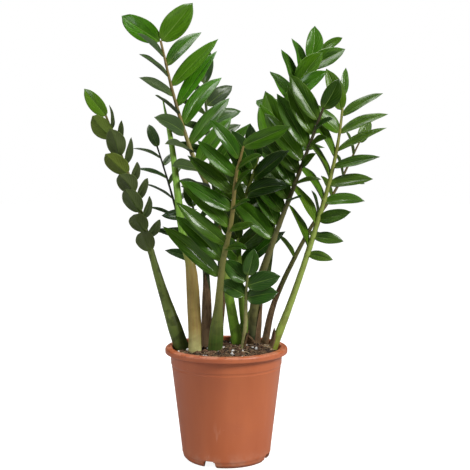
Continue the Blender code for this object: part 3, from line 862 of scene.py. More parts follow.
def leaf_finish():
    """Thick glossy blade: pale midrib, a pale margin that is partly painted highlight, fine streaks along
    it, and a duller, greyer underside.
    """
    look = Finish(
        "leaflet_green", IOR=1.45, Specular_IOR_Level=0.22, Specular_Tint=(0.8, 1.0, 0.5, 1),
        Coat_Roughness=0.11, Coat_IOR=1.45,
    )
    along, across, upper = (look.own(name) for name in ("along", "across", "upper"))
    tone, deep, gold, grey = (look.own(name) for name in ("tone", "deep", "gold", "grey"))
    place = look.here()
    edge = abs(across)
    below = 1 - (upper * 20).rise(-0.5, 0.5)
    cloud = look.noise(34, place, 3)
    streak = look.noise(1.0, look.vector(across * 4.5 + along * 1.5, along * 1.8, tone * 40), 4, 0.62)
    fine = look.noise(240, place, 2)
    # Each row's darkness is partly the leaflets' own tone and partly painted shade, darker on the fronds
    # inside and behind the plant.
    green = look.mix(deep, LEAF_BRIGHT, LEAF_DARK_AND_SHADED)
    green = look.mix(gold, green, LEAF_YELLOWED)
    shade = streak.rise(0.4, 0.66) * 0.5 + (cloud - 0.5) * 0.9 + (tone - 0.25) * 0.55
    green = look.mix(shade, green, LEAF_SHADED)
    pale_belly = look.mix(deep, BELLY_BRIGHT, BELLY_DARK_AND_SHADED)
    pale_belly = look.mix(gold, pale_belly, BELLY_YELLOWED)
    green = look.mix(below * 0.75, green, pale_belly)
    green = look.mix(grey, green, LEAF_GREYED)
    # A blade's base is yellower, and so are its fine side veins, its midrib and its margin; the pale margin
    # is partly its own colour and partly a painted highlight along the edge.
    green = look.mix((1 - along.rise(0.0, 0.2)) * 0.35, green, FOOT_GREEN)
    arcs = (along * 6.5 - edge**0.8 * 4.4 + tone * 3).fraction()
    vein = (1 - abs(arcs - 0.5).rise(0.02, 0.2)) * edge.rise(0.05, 0.25) * (1 - edge.rise(0.7, 0.95))
    green = look.mix(vein * 0.09, green, VEIN_GREEN)
    rib_width = 0.06 * (1.2 - along)
    rib = 1 - (edge / rib_width).rise(0.35, 1.0)
    green = look.mix(rib * 0.5, green, RIB_GREEN)
    # Pale rim at the margin: partly the blade's own edge, partly a painted highlight along it.
    rim = edge.rise(0.94, 1.0)
    green = look.mix(rim * 0.45, green, MARGIN_AND_EDGE_HIGHLIGHT)
    look.feed("Base Color", green)
    look.feed("Roughness", 0.34 + below * 0.2 + (streak - 0.5) * 0.2 + fine * 0.04)
    look.feed("Coat Weight", (0.12 + cloud.rise(0.4, 0.7) * 0.4) * (1 - below * 0.75))
    look.bump(vein * -0.35 + rib * -0.5 + streak * 0.9 + fine * 0.03 + cloud * 0.9, 0.0006, 0.75)
    return look.material


def stem_finish(name, root, middle, top, band, bands, specks, turns):
    """Stalk skin: its colour runs from the root to the tip, crossed by darker bands and small specks."""
    look = Finish(
        f"stalk_{name}", IOR=1.45, Specular_IOR_Level=0.3, Specular_Tint=(0.95, 1.0, 0.75, 1),
        Coat_Roughness=0.25, Coat_Weight=0.08,
    )
    share, around = look.own("share"), look.own("around")
    place = look.here()
    cloud = look.noise(55, place, 3)
    colour = look.ramp(share + (cloud - 0.5) * 0.1, tuple(zip(turns, (root, middle, middle, top))))
    girdle = look.noise(1.0, look.vector(share * 26, around.sin() * 0.5, around.cos() * 0.5), 3)
    colour = look.mix(girdle.rise(0.52, 0.66) * bands, colour, band)
    freckle = look.noise(420, look.vector(around.sin(), around.cos(), share * 8) * 0.25, 1)
    colour = look.mix(freckle.rise(0.6, 0.72) * specks, colour, band)
    streak = look.noise(9, look.vector(around.sin() * 1.6, around.cos() * 1.6, share * 0.8), 3, 0.6)
    colour = look.mix(streak.rise(0.45, 0.8) * 0.3, colour, top)
    colour = look.mix((1 - streak.rise(0.25, 0.46)) * 0.6, colour, band)
    look.feed("Base Color", colour)
    look.feed("Roughness", 0.4 + cloud * 0.16 + girdle * 0.06)
    look.bump(streak * 0.5 + girdle * 0.4 + look.noise(600, place, 2) * 0.12, 0.0004, 0.6)
    return look.material


def husk_finish():
    """Dry papery sheath: tan, with long brown fibres."""
    look = Finish("dry_husk", Coat_Weight=0.0)
    along, across = look.own("along"), look.own("across")
    fibre = look.noise(1.0, look.vector(across * 46, along * 3, 0.0), 3)
    blotch = look.noise(70, look.here(), 3)
    browns = ((0.25, (0.09, 0.045, 0.02)), (0.5, (0.27, 0.16, 0.07)), (0.75, (0.45, 0.33, 0.17)))
    colour = look.ramp(fibre, browns)
    colour = look.mix(blotch.rise(0.5, 0.75) * 0.6, colour, (0.1, 0.05, 0.025))
    look.feed("Base Color", colour)
    look.feed("Roughness", 0.62 + fibre * 0.2)
    look.bump(fibre, 0.0005, 0.8)
    return look.material


def pot_finish():
    """Injection moulded plastic: terracotta colour, faint flow marks, dust near the foot, and a painted
    highlight in patches along the lip's top.
    """
    look = Finish("terracotta_plastic", IOR=1.48, Coat_Weight=0.0)
    place = look.here()
    axes = look.add("ShaderNodeSeparateXYZ", {}, {0: place}, "X")
    height = look.add("ShaderNodeSeparateXYZ", {}, {0: place}, "Z")
    depth = look.add("ShaderNodeSeparateXYZ", {}, {0: place}, "Y")
    flow = look.noise(1.0, look.vector(axes * 42, depth * 42, height * 5), 3)
    haze = look.noise(14, place, 4)
    grain = look.noise(900, place, 2)
    colour = look.mix(flow, CLAY_DARK, CLAY_LIGHT)
    broad = look.noise(1.0, look.vector(axes * 11, depth * 11, height * 2), 2)
    colour = look.mix((1 - broad.rise(0.3, 0.66)) * 0.6, colour, CLAY_SHADED)
    drip = look.noise(1.0, look.vector(axes * 130, depth * 130, height * 22), 2)
    drips = drip.rise(0.66, 0.74) * (1 - (height * 1000).rise(20, 75))
    colour = look.mix(drips * 0.3, colour, DRIED_WATER)
    colour = look.mix(haze.rise(0.4, 0.75) * 0.35, colour, CLAY_HAZE)
    dust = (1 - (height * 1000).rise(0, 26)) * look.noise(90, place, 4).rise(0.35, 0.7)
    colour = look.mix(dust * 0.4, colour, DUST)
    # A paler band in patches on the lip's top is a painted highlight.
    lip_highlight = (height * 1000).rise(151.5, 154.5) * look.noise(60, place, 3).rise(0.4, 0.62)
    colour = look.mix(lip_highlight * 0.35, colour, LIP_TOP_HIGHLIGHT)
    crumbs = (height * 1000).rise(148, 156) * look.noise(330, place, 2).rise(0.56, 0.66)
    colour = look.mix(crumbs * 0.55, colour, WET_SOIL)
    scratch = look.noise(1.0, look.vector(axes * 160, depth * 160, height * 900), 2)
    marks = scratch.rise(0.7, 0.76) * haze.rise(0.45, 0.6)
    colour = look.mix(marks * 0.35, colour, SCRATCHED_CLAY)
    look.feed("Base Color", colour)
    look.feed("Roughness", 0.36 + haze * 0.12 + dust * 0.25)
    look.bump(flow * 0.35 + grain * 0.12 + scratch * 0.05, 0.0005, 0.5)
    return look.material


def grain_finish(name, dark, light, scale, roughness=0.9):
    """Crumbly stuff: soil, bark and perlite."""
    look = Finish(name, Specular_IOR_Level=0.25)
    place = look.here()
    lump = look.noise(scale, place, 4, 0.65)
    fine = look.noise(scale * 6, place, 3, 0.6)
    colour = look.mix(lump.rise(0.3, 0.72), dark, light)
    colour = look.mix(fine.rise(0.55, 0.8) * 0.5, colour, dark)
    look.feed("Base Color", colour)
    look.feed("Roughness", roughness - fine * 0.15)
    look.bump(lump + fine * 0.5, 0.0008, 0.9)
    return look.material


# ---------------------------------------------------------------- leaflets


def blade_form(material):
    """A tree that puts a closed, bent blade at each point of a mesh, by the sizes stored on the point."""
    form = Form(
        "blades", Stations=26, Sides=24, Thickness=0.0010, Neck=LEAF_NECK,
        Groove=0.0004, Ridge=0.0007, Crown=0.18, Ripple=0.06, Sway=0.035,
    )
    grid = form.add(
        "GeometryNodeMeshGrid", {},
        {"Size X": 1.0, "Size Y": 1.0, "Vertices X": form.given("Stations"),
         "Vertices Y": form.given("Sides") + 1},
    )
    corner = form.add("ShaderNodeSeparateXYZ", {}, {0: form.place()}, "X")
    turn = (form.add("ShaderNodeSeparateXYZ", {}, {0: form.place()}, "Y") + 0.5) * math.tau
    # More points near the midrib and near the margins than between them.
    across = (turn.cos() + (turn * 3).cos() * 0.2) / -1.2
    grid = form.store(grid, "along", corner + 0.5)
    grid = form.store(grid, "across", across)
    grid = form.store(grid, "upper", turn.sin())
    spots = form.add("GeometryNodeInstanceOnPoints", {}, {"Points": form.source, "Instance": grid})
    real = form.add("GeometryNodeRealizeInstances", {}, {"Geometry": spots})

    along, across, upper = (form.named(name) for name in ("along", "across", "upper"))
    length, width, fold, curl, tone = (
        form.named(name) for name in ("length", "width", "fold", "curl", "tone")
    )
    base, ahead, normal = (form.named(name, "FLOAT_VECTOR") for name in ("base", "ahead", "normal"))
    widest = LEAF_RISE / (LEAF_RISE + LEAF_FALL)
    shape = (along / widest) ** LEAF_RISE * ((1 - along) / (1 - widest)) ** LEAF_FALL
    acuminate = 1 - (1 - (1 - along).rise(0.0, 0.16)) * 0.35
    neck = form.given("Neck")
    half = neck * (1 - along) + (width / 2 - neck) * shape * acuminate
    half = half * along.rise(-0.001, 0.02)
    angle = curl * along
    forward = length * angle.sin() / curl
    sink = length * (1 - angle.cos()) / curl
    bent = normal * angle.cos() + ahead * angle.sin()
    side = normal.cross(ahead)
    edge = abs(across)
    wave = (along * 9 + across * 1.5 + tone * 40).sin() * across * across * (1 - along) * along * 4
    rise = edge * half * fold.sin() + half * form.given("Crown") * (edge - edge * edge)
    rise = rise + half * form.given("Ripple") * wave
    rise = rise - form.given("Groove") * (1 - edge.rise(0.0, 0.16)) * (1 - along)
    body = (1 - edge * edge) * 0.65 + 0.35
    skin = (abs(upper) ** 0.6) * ((upper > 0) * 2 - 1) * form.given("Thickness") / 2 * body
    skin = skin * along.rise(-0.001, 0.03) * (1 - along.rise(0.94, 1.0) * 0.9)
    ridge = form.given("Ridge") * (1 - edge.rise(0.0, 0.2)) * (1 - along) * (1 - (upper > -0.01))
    sideways = across * half * fold.cos() + length * form.given("Sway") * (
        (along * math.pi).sin() * (tone * 60).sin()
    )
    spot = base + ahead * forward - normal * sink + bent * (rise + skin - ridge) + side * sideways
    moved = form.add("GeometryNodeSetPosition", {}, {"Geometry": real, "Position": spot})
    closed = form.add("GeometryNodeMergeByDistance", {}, {"Geometry": moved, "Distance": MERGE})
    form.end(closed, material)
    return form


def field_mesh(name, places, edges=(), **fields):
    """A mesh of points, joined by these edges, with numbers or vectors stored on them."""
    mesh = bpy.data.meshes.new(name)
    mesh.from_pydata([tuple(place) for place in places], edges, [])
    for field, values in fields.items():
        is_vector = isinstance(values[0], Vector)
        layer = mesh.attributes.new(field, "FLOAT_VECTOR" if is_vector else "FLOAT", "POINT")
        flat = [number for value in values for number in value] if is_vector else values
        layer.data.foreach_set("vector" if is_vector else "value", flat)
    return mesh


def blades(form, name, stalk, leaves, look):
    """One piece with these leaflets, their necks run into the stalk."""
    chance = random.Random(name)
    to_right = stalk.place(0.75)[3]
    on_left = [
        int(leaf.direction.dot(to_right) < 0 and (leaf.base - stalk.points[-1]).length > 4 * LEAF_NECK)
        for leaf in leaves
    ]
    reach = GAP + 2 * LEAF_NECK
    starts = [leaf.base - leaf.direction * (reach if leaf.separate else 0) for leaf in leaves]
    lengths = [leaf.length + (reach if leaf.separate else 0) for leaf in leaves]
    mesh = field_mesh(
        name, starts,
        base=starts,
        ahead=[leaf.direction for leaf in leaves],
        normal=[leaf.normal for leaf in leaves],
        length=lengths,
        width=[leaf.width for leaf in leaves],
        fold=[leaf.fold for leaf in leaves],
        curl=[leaf.curl for leaf in leaves],
        tone=[chance.random() for leaf in leaves],
        # Darkness of each leaflet: its row's value, part own tone and part painted shade, with a little
        # chance.
        deep=[look.deep[side] + chance.uniform(-0.22, 0.2) for side in on_left],
        gold=[look.gold + chance.uniform(-0.1, 0.22) for leaf in leaves],
        grey=[look.grey[side] for side in on_left],
    )
    return form.apply(name, mesh)


# ---------------------------------------------------------------- stalks

STEM_RINGS = 160
# How far apart, in shares of a stalk's length, the five radii are that each ring's radius is the mean of.
STEM_BLEND = 0.02
# How much thicker a stalk is under each leaflet, and over what share of its length.
KNUCKLE_SWELL = 0.10
KNUCKLE_REACH = 0.007

HUSK_CELLS = (22, 12)
HUSK_GAP = 0.0004
HUSK_WAVE = 0.0006
HUSK_THICKNESS = 0.0004


def stem_form(material):
    """A tree that makes a closed round stalk from a line, by the radius stored on it."""
    form = Form("stems", Sides=20, Unevenness=0.00035)
    line = form.add("GeometryNodeMeshToCurve", {}, {"Mesh": form.source})
    ring = form.add(
        "GeometryNodeCurvePrimitiveCircle", {}, {"Resolution": form.given("Sides"), "Radius": 1.0}
    )
    factor = form.add("GeometryNodeSplineParameter", {}, {}, "Factor")
    ring = form.store(ring, "around", factor * math.tau)
    skin = form.add(
        "GeometryNodeCurveToMesh", {},
        {"Curve": line, "Profile Curve": ring, "Scale": form.named("girth"), "Fill Caps": True},
    )
    lumps = form.noise(90, form.place(), 3) - 0.5
    normal = form.add("GeometryNodeInputNormal")
    uneven = form.add(
        "GeometryNodeSetPosition", {},
        {"Geometry": skin, "Offset": normal * (lumps * form.given("Unevenness") * 2)},
    )
    form.end(uneven, material)
    return form


def stem(form, name, stalk):
    """The stalk's skin, with a knuckle under each leaflet."""
    joints = [wanted[0] for wanted in wanted_leaves(stalk) if wanted[0] < 1]
    points = [stalk.points[0] - Vector((0, 0, ROOT_DEPTH))]
    radii = [stalk.radius(0)]
    shares = [0.0]
    for index in range(STEM_RINGS + 1):
        share = index / STEM_RINGS
        near = [stalk.radius(min(1, max(0, share + step * STEM_BLEND))) for step in (-2, -1, 0, 1, 2)]
        radius = sum(near) / len(near)
        for joint in joints:
            radius *= 1 + KNUCKLE_SWELL * math.exp(-(((share - joint) / KNUCKLE_REACH) ** 2))
        points.append(stalk.place(share)[0])
        radii.append(radius)
        shares.append(share)
    edges = [(index, index + 1) for index in range(len(points) - 1)]
    return form.apply(name, field_mesh(name, points, edges, girth=radii, share=shares))


def husk(name, stalk, start, end, turn, width, spread, material):
    """A papery sheath that wraps part of a stalk's foot and ends in a torn tip."""
    rows, columns = HUSK_CELLS
    chance = random.Random(name)
    ragged = [chance.uniform(-1, 1) for _ in range(columns + 1)]
    shape = bmesh.new()
    along_layer = shape.verts.layers.float.new("along")
    across_layer = shape.verts.layers.float.new("across")
    grid = []
    for row in range(rows + 1):
        along = row / rows
        line = []
        for column in range(columns + 1):
            across = column / columns * 2 - 1
            narrow = width * (1 - along**2.2 * 0.93)
            angle = math.radians(turn) + across * narrow / 2 + 0.15 * math.sin(along * 3)
            share = start + (end - start) * along * (1 + 0.05 * ragged[column] * along)
            point, _, upper, right = stalk.place(min(share, 1))
            out = stalk.radius(min(share, 1)) + HUSK_GAP + spread * along**2
            out += HUSK_WAVE * math.sin(across * 9 + along * 4) * (0.3 + along)
            vert = shape.verts.new(point + (upper * math.cos(angle) + right * math.sin(angle)) * out)
            vert[along_layer] = along
            vert[across_layer] = across
            line.append(vert)
        grid.append(line)
    for below, above in zip(grid, grid[1:]):
        for column in range(columns):
            shape.faces.new((below[column], below[column + 1], above[column + 1], above[column]))
    bmesh.ops.solidify(shape, geom=shape.faces[:], thickness=HUSK_THICKNESS)
    mesh = closed_mesh(name, shape, material)
    mesh.shade_smooth()
    return placed(name, mesh)


# ---------------------------------------------------------------- pot

POT_FACETS = 144
POT_CREASE = math.radians(32)
# Radii of the small rounds at the lip's inner edge and on both sides of its underside.
EDGE_ROUND = 0.0016
LIP_FILLET = 0.0012
# How far the fine rings left by the mould stand out, and how high they are.
MOULD_LINE = 0.00018
MOULD_LINE_HEIGHT = 0.001
NOTCH_ROUND = 0.0016


def arc(centre, radius, start, end, steps=6):
    """(radius, height) points round a centre, from one angle in degrees to another."""
    angles = (math.radians(start + (end - start) * step / steps) for step in range(steps + 1))
    return [(centre[0] + radius * math.cos(a), centre[1] + radius * math.sin(a)) for a in angles]


def fine_profile():
    """The pot's section: inside floor, up the wall, over the lip, down the outside, under the foot."""
    lower_radius = COLLAR_RADIUS - 2 * STEP
    lip_bottom = POT_HEIGHT - LIP_HEIGHT
    foot_radius = BASE_RADIUS - BASE_EDGE
    floor = FLOOR_RISE + WALL
    inner_top = COLLAR_RADIUS - STEP - WALL
    groove = BASE_EDGE
    points = [(0, WALL), (PAD_RADIUS, WALL), (PAD_RADIUS + groove, floor)]
    points += [(inner_radius(floor) - groove / 2, floor)]
    points += [(inner_radius(floor + groove / 2), floor + groove / 2)]
    points += [(lower_radius - WALL, STEP_HEIGHT), (inner_top, STEP_HEIGHT + STEP)]
    # The lip is a flange with a rounded outer edge and a slight dish in its top.
    roll = LIP_HEIGHT * 0.42
    points += arc((inner_top + EDGE_ROUND, POT_HEIGHT - EDGE_ROUND), EDGE_ROUND, 180, 90)
    points += [(inner_top + 0.0035, POT_HEIGHT - 0.0004)]
    points += [(LIP_RADIUS - roll - 0.0005, POT_HEIGHT - 0.0001)]
    points += arc((LIP_RADIUS - roll, POT_HEIGHT - roll), roll, 90, 0, 8)
    points += arc((LIP_RADIUS - LIP_FILLET, lip_bottom + LIP_FILLET), LIP_FILLET, 0, -90, 4)
    points += arc((COLLAR_RADIUS + LIP_FILLET, lip_bottom - LIP_FILLET), LIP_FILLET, 90, 180, 4)
    collar_foot = STEP_HEIGHT + STEP
    points += [(COLLAR_RADIUS - STEP * 0.75, collar_foot + 0.0012), (COLLAR_RADIUS - STEP, collar_foot)]
    points += [(lower_radius + 0.0003, STEP_HEIGHT), (lower_radius, STEP_HEIGHT - 0.0006)]
    heel = groove * 2.6
    for height in (STEP_HEIGHT - 0.0035, heel + 0.001, heel):
        radius = BASE_RADIUS + (lower_radius - BASE_RADIUS) * height / STEP_HEIGHT
        half = MOULD_LINE_HEIGHT / 2
        points += [(radius, height + half), (radius + MOULD_LINE, height), (radius, height - half)]
    points += [(BASE_RADIUS, groove * 1.6)]
    points += arc((foot_radius - 0.0004, groove * 1.5), groove * 1.12, 0, -70, 6)
    points += [(foot_radius, 0), (foot_radius - FOOT_WIDTH, 0)]
    points += [(foot_radius - FOOT_WIDTH - groove / 2, FLOOR_RISE), (PAD_RADIUS + groove, FLOOR_RISE)]
    points += [(PAD_RADIUS - WALL, 0), (0, 0)]
    return points


def turned(name, profile, facets, material):
    """A closed body of revolution, its seam and poles merged."""
    shape = bmesh.new()
    verts = [shape.verts.new((radius, 0, height)) for radius, height in profile]
    edges = [shape.edges.new(pair) for pair in zip(verts, verts[1:])]
    bmesh.ops.spin(
        shape, geom=verts + edges, cent=(0, 0, 0), axis=(0, 0, 1), angle=math.tau, steps=facets
    )
    bmesh.ops.remove_doubles(shape, verts=shape.verts, dist=MERGE)
    return placed(name, closed_mesh(name, shape, material))


def notch_cutter(index):
    """A block as wide as a drainage notch, rounded along its top, where the notch is."""
    shape = bmesh.new()
    bmesh.ops.create_cube(shape, size=1)
    for vert in shape.verts:
        at_top = vert.co.z > 0
        width = NOTCH_TOP_WIDTH if at_top else NOTCH_WIDTH
        outer = vert.co.y < 0
        vert.co.x = math.copysign(width / 2, vert.co.x)
        vert.co.y = -BASE_RADIUS - WALL if outer else NOTCH_DEPTH - BASE_RADIUS
        vert.co.z = NOTCH_HEIGHT if at_top else -NOTCH_HEIGHT
    ridge = [edge for edge in shape.edges if all(vert.co.z > 0 for vert in edge.verts)]
    ridge = [edge for edge in ridge if abs(edge.verts[0].co.x - edge.verts[1].co.x) < MERGE]
    bmesh.ops.bevel(shape, geom=ridge, offset=NOTCH_ROUND, segments=4, affect="EDGES")
    cutter = placed("notch", closed_mesh("notch", shape))
    cutter.rotation_euler.z = math.tau * index / NOTCH_COUNT - NOTCH_TURN
    return cutter


def nursery_pot():
    """The turned pot with its drainage notches cut."""
    pot = turned("nursery_pot", fine_profile(), POT_FACETS, pot_finish())
    for index in range(NOTCH_COUNT):
        cutter = notch_cutter(index)
        cut = pot.modifiers.new("notch", "BOOLEAN")
        cut.operation = "DIFFERENCE"
        cut.object = cutter
        pot.data = evaluated(pot)
        pot.modifiers.clear()
        bpy.data.objects.remove(cutter)
    pot.data.shade_smooth()
    pot.data.set_sharp_from_angle(angle=POT_CREASE)
    return pot


# ---------------------------------------------------------------- soil


SOIL_RINGS, SOIL_SPOKES = 46, 150
# Heaps on the soil: height, place to the right and to the back, and reach.
HEAPS = ((0.0035, 0.025, -0.035, 0.03), (0.008, 0.045, -0.012, 0.016))
# Lumps, coarse and fine: how many to a metre, and how high.
LUMPS = ((120, 0.0018), (420, 0.0006))
SOIL_SINK = 0.0008


def soil_ground():
    """A heaped, crumbly top over a plain body that fills the pot."""
    edge = inner_radius(SOIL_TOP) - GAP
    shape = bmesh.new()
    middle = shape.verts.new((0, 0, SOIL_TOP + SOIL_CROWN))
    last = None
    for ring in range(1, SOIL_RINGS + 1):
        share = ring / SOIL_RINGS
        line = []
        for spoke in range(SOIL_SPOKES):
            angle = math.tau * spoke / SOIL_SPOKES
            radius = edge * share
            spot = Vector((radius * math.cos(angle), radius * math.sin(angle), 0))
            line.append(shape.verts.new(spot + Vector((0, 0, soil_height(spot.x, spot.y)))))
        for spoke in range(SOIL_SPOKES):
            after = (spoke + 1) % SOIL_SPOKES
            if last is None:
                shape.faces.new((middle, line[spoke], line[after]))
            else:
                shape.faces.new((last[spoke], line[spoke], line[after], last[after]))
        last = line
    rim = [edge for edge in shape.edges if edge.is_boundary]
    low = bmesh.ops.extrude_edge_only(shape, edges=rim)["geom"]
    for vert in (item for item in low if isinstance(item, bmesh.types.BMVert)):
        vert.co.z = SOIL_TOP - ROOT_DEPTH
    bmesh.ops.holes_fill(shape, edges=[edge for edge in shape.edges if edge.is_boundary], sides=0)
    soil = grain_finish("potting_soil", (0.012, 0.008, 0.006), (0.085, 0.05, 0.03), 420)
    mesh = closed_mesh("soil_ground", shape, soil)
    mesh.shade_smooth()
    return placed("soil_ground", mesh)


def soil_height(x, y):
    """The soil's surface: domed, heaped up towards the front right, and lumpy."""
    from_middle = math.hypot(x, y) / inner_radius(SOIL_TOP)
    dome = SOIL_TOP + SOIL_CROWN * (1 - from_middle**2)
    heaped = sum(
        height * math.exp(-((x - right) ** 2 + (y - back) ** 2) / reach**2)
        for height, right, back, reach in HEAPS
    )
    spot = Vector((x, y, 0))
    (coarse, coarse_height), (fine, fine_height) = LUMPS
    lumps = noise.fractal(spot * coarse, 1.0, 2.0, 4) * coarse_height
    lumps += noise.noise(spot * fine) * fine_height
    return dome + heaped + lumps - SOIL_SINK


def scatter_form(seed, count, reach, clump=0.0):
    """A tree that scatters points over the soil, no nearer the pot's wall than this reach.

    Clump, from 0 to 1, gathers them into patches.
    """
    form = Form("scatter", Count=float(count), Edge=inner_radius(SOIL_TOP) - GAP - reach, Seed=seed)
    level = form.add("GeometryNodeInputNormal")
    across, depth = (form.add("ShaderNodeSeparateXYZ", {}, {0: form.place()}, axis) for axis in "XY")
    inside = 1 - ((across * across + depth * depth) ** 0.5 > form.given("Edge"))
    up = form.add("ShaderNodeSeparateXYZ", {}, {0: level}, "Z") > 0.3
    patches = form.noise(55, form.place() + seed * 0.37, 2).rise(0.45, 0.6) * clump + (1 - clump)
    spots = form.add(
        "GeometryNodeDistributePointsOnFaces", {},
        {"Mesh": form.source, "Selection": up * inside, "Density": form.given("Count") * patches,
         "Seed": form.given("Seed")},
    )
    return form, spots


def crumbs(name, ground, material, seed, density, smallest, largest, flatness, clump=0.0):
    """Crumbs of one kind, all over the soil."""
    form, spots = scatter_form(seed, density, largest, clump)
    lump = form.add("GeometryNodeMeshIcoSphere", {}, {"Radius": 1.0, "Subdivisions": 2})
    turn = form.random((0.0, 0.0, 0.0), (math.tau,) * 3, seed + 1, "FLOAT_VECTOR")
    size = form.random(smallest, largest, seed + 2)
    long = form.random(0.7, 1.5, seed + 3)
    scale = form.vector(size * long, size, size * flatness)
    copies = form.add(
        "GeometryNodeInstanceOnPoints", {},
        {"Points": spots, "Instance": lump, "Rotation": turn, "Scale": scale},
    )
    real = form.add("GeometryNodeRealizeInstances", {}, {"Geometry": copies})
    bite = form.add(
        "ShaderNodeTexNoise", {},
        {"Vector": form.place(), "Scale": 0.9 / largest, "Detail": 2.0}, "Color",
    )
    push = form.add("ShaderNodeVectorMath", {"operation": "SUBTRACT"}, {0: bite, 1: (0.5,) * 3})
    rough = form.add(
        "GeometryNodeSetPosition", {},
        {"Geometry": real, "Offset": push * (largest * 1.1)},
    )
    form.end(rough, material)
    return form.apply(name, ground.data.copy())


def fibres(name, ground, material, seed, density, length, thickness):
    """Fine curved fibres that lie on the soil."""
    form, spots = scatter_form(seed, density, length * 0.65, 0.6)
    line = form.add(
        "GeometryNodeCurvePrimitiveBezierSegment", {"mode": "OFFSET"},
        {"Resolution": 7, "Start": (-0.5, 0.0, 0.0), "Start Handle": (0.2, 0.25, 0.12),
         "End": (0.5, 0.05, 0.02), "End Handle": (-0.25, -0.2, 0.14)},
    )
    ring = form.add(
        "GeometryNodeCurvePrimitiveCircle", {}, {"Resolution": 4, "Radius": thickness / length}
    )
    thread = form.add(
        "GeometryNodeCurveToMesh", {}, {"Curve": line, "Profile Curve": ring, "Fill Caps": True}
    )
    turn = form.random((-0.35, -0.35, 0.0), (0.35, 0.35, math.tau), seed + 1, "FLOAT_VECTOR")
    size = form.random(length * 0.4, length * 1.3, seed + 2)
    bow = form.random(-1.6, 1.6, seed + 3)
    copies = form.add(
        "GeometryNodeInstanceOnPoints", {},
        {"Points": spots, "Instance": thread, "Rotation": turn,
         "Scale": form.vector(size, size * bow, size)},
    )
    form.end(copies, material)
    return form.apply(name, ground.data.copy())


# ---------------------------------------------------------------- making


def linear(red, green, blue):
    """A colour given as it shows on a screen, in the linear light that shaders take."""
    return tuple(
        part / 12.92 if part <= 0.04045 else ((part + 0.055) / 1.055) ** 2.4
        for part in (red / 255, green / 255, blue / 255)
    )


# For each frond: how dark and how grey the leaflets of its right and of its left row are, how yellow they
# all are, how strong the stalk's bands and specks are, and the stalk's colours: at the root, in the
# middle, at the tip and in its bands. The darkness is partly painted shade: the fronds inside and behind
# the plant are made darker for the shade they stand in. Turns are the shares of the stalk's length where
# the root's colour ends, where the middle's starts and ends, and where the tip's starts.
USUAL_TURNS = (0.02, 0.12, 0.45, 0.8)
Look = namedtuple(
    "Look", "deep grey gold bands specks root middle top band turns", defaults=(USUAL_TURNS,)
)
LOOKS = {
    "far_left": Look(
        (-0.2, 0.4), (0.04, 0.45), 0.62, 0.7, 0.3,
        linear(64, 84, 28), linear(104, 118, 54), linear(104, 94, 44), linear(50, 58, 22),
    ),
    "spear": Look(
        (0.1, 0.1), (0.0, 0.0), 0.4, 0.25, 0.1,
        linear(186, 182, 122), linear(146, 122, 70), linear(122, 166, 56), linear(98, 72, 40),
        (0.0, 0.09, 0.32, 0.46),
    ),
    "tallest": Look(
        (0.14, 0.78), (0.0, 0.4), 0.14, 0.4, 0.8,
        linear(138, 186, 58), linear(156, 152, 88), linear(126, 106, 58), linear(58, 46, 26),
        (0.16, 0.3, 0.5, 0.8),
    ),
    "front": Look(
        (0.55, 0.45), (0.0, 0.0), 0.14, 0.35, 0.5,
        linear(72, 98, 36), linear(118, 118, 62), linear(136, 118, 66), linear(58, 60, 28),
        (0.08, 0.28, 0.5, 0.85),
    ),
    "dark_right": Look(
        (0.8, 0.65), (0.0, 0.0), 0.08, 0.5, 0.3,
        linear(76, 88, 62), linear(104, 102, 58), linear(62, 56, 32), linear(42, 44, 26),
    ),
    "far_right": Look(
        (0.2, 0.1), (0.1, 0.0), 0.42, 0.45, 0.5,
        linear(132, 148, 48), linear(140, 158, 74), linear(126, 130, 58), linear(102, 96, 46),
    ),
    "back_right": Look(
        (0.1, 0.2), (0.0, 0.0), 0.2, 0.5, 0.3,
        linear(60, 92, 34), linear(88, 104, 48), linear(88, 100, 42), linear(44, 54, 26),
    ),
    "rear_right": Look(
        (0.35, 0.35), (0.2, 0.1), 0.35, 0.5, 0.5,
        linear(60, 72, 32), linear(92, 92, 48), linear(98, 84, 46), linear(48, 46, 26),
    ),
    "low_front": Look(
        (0.72, 0.72), (0.1, 0.1), -0.1, 0.4, 0.5,
        linear(176, 168, 114), linear(150, 148, 94), linear(112, 122, 66), linear(96, 74, 42),
    ),
    "wiry_left": Look(
        (0.8, 0.8), (0.25, 0.25), 0.0, 0.4, 0.3,
        linear(50, 54, 30), linear(44, 48, 26), linear(40, 44, 24), linear(24, 26, 16),
    ),
    "behind_spear": Look(
        (0.8, 0.8), (0.1, 0.1), 0.0, 0.5, 0.3,
        linear(50, 66, 32), linear(54, 70, 34), linear(56, 66, 34), linear(30, 36, 18),
    ),
    "middle": Look(
        (0.92, 0.92), (0.0, 0.0), 0.0, 0.3, 0.3,
        linear(96, 150, 46), linear(124, 156, 58), linear(120, 132, 54), linear(60, 76, 30),
    ),
    "behind_tallest": Look(
        (0.8, 0.8), (0.3, 0.1), 0.0, 0.5, 0.3,
        linear(52, 76, 32), linear(62, 84, 38), linear(64, 78, 36), linear(34, 44, 20),
    ),
}


def keep(piece, slot, *nodes):
    """The piece moves with the plant and stands for these solids."""
    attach(piece, "root")
    if nodes:
        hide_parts(*nodes)


def make_plant():
    """Every stalk and leaflet. Returns the stalks."""
    stalks = [Stalk(frond) for frond in FRONDS]
    leaves = grow(stalks)
    form = blade_form(leaf_finish())
    for stalk in stalks:
        name = stalk.frond.name
        look = LOOKS[name]
        solid = f"stalk_{name}"
        skin = stem_finish(
            name, look.root, look.middle, look.top, look.band, look.bands, look.specks, look.turns
        )
        keep(stem(stem_form(skin), f"stem_{name}", stalk), "stalk", solid)
        own = [leaf for owner, leaf in leaves if owner is stalk]
        joined = [leaf for leaf in own if not leaf.separate]
        if joined:
            keep(blades(form, f"blades_{name}", stalk, joined, look), "leaflet", solid)
        for leaf in own:
            if leaf.separate:
                piece = blades(form, leaf.name.replace("leaflet", "leaf"), stalk, [leaf], look)
                keep(piece, "leaflet", leaf.name)
    return stalks


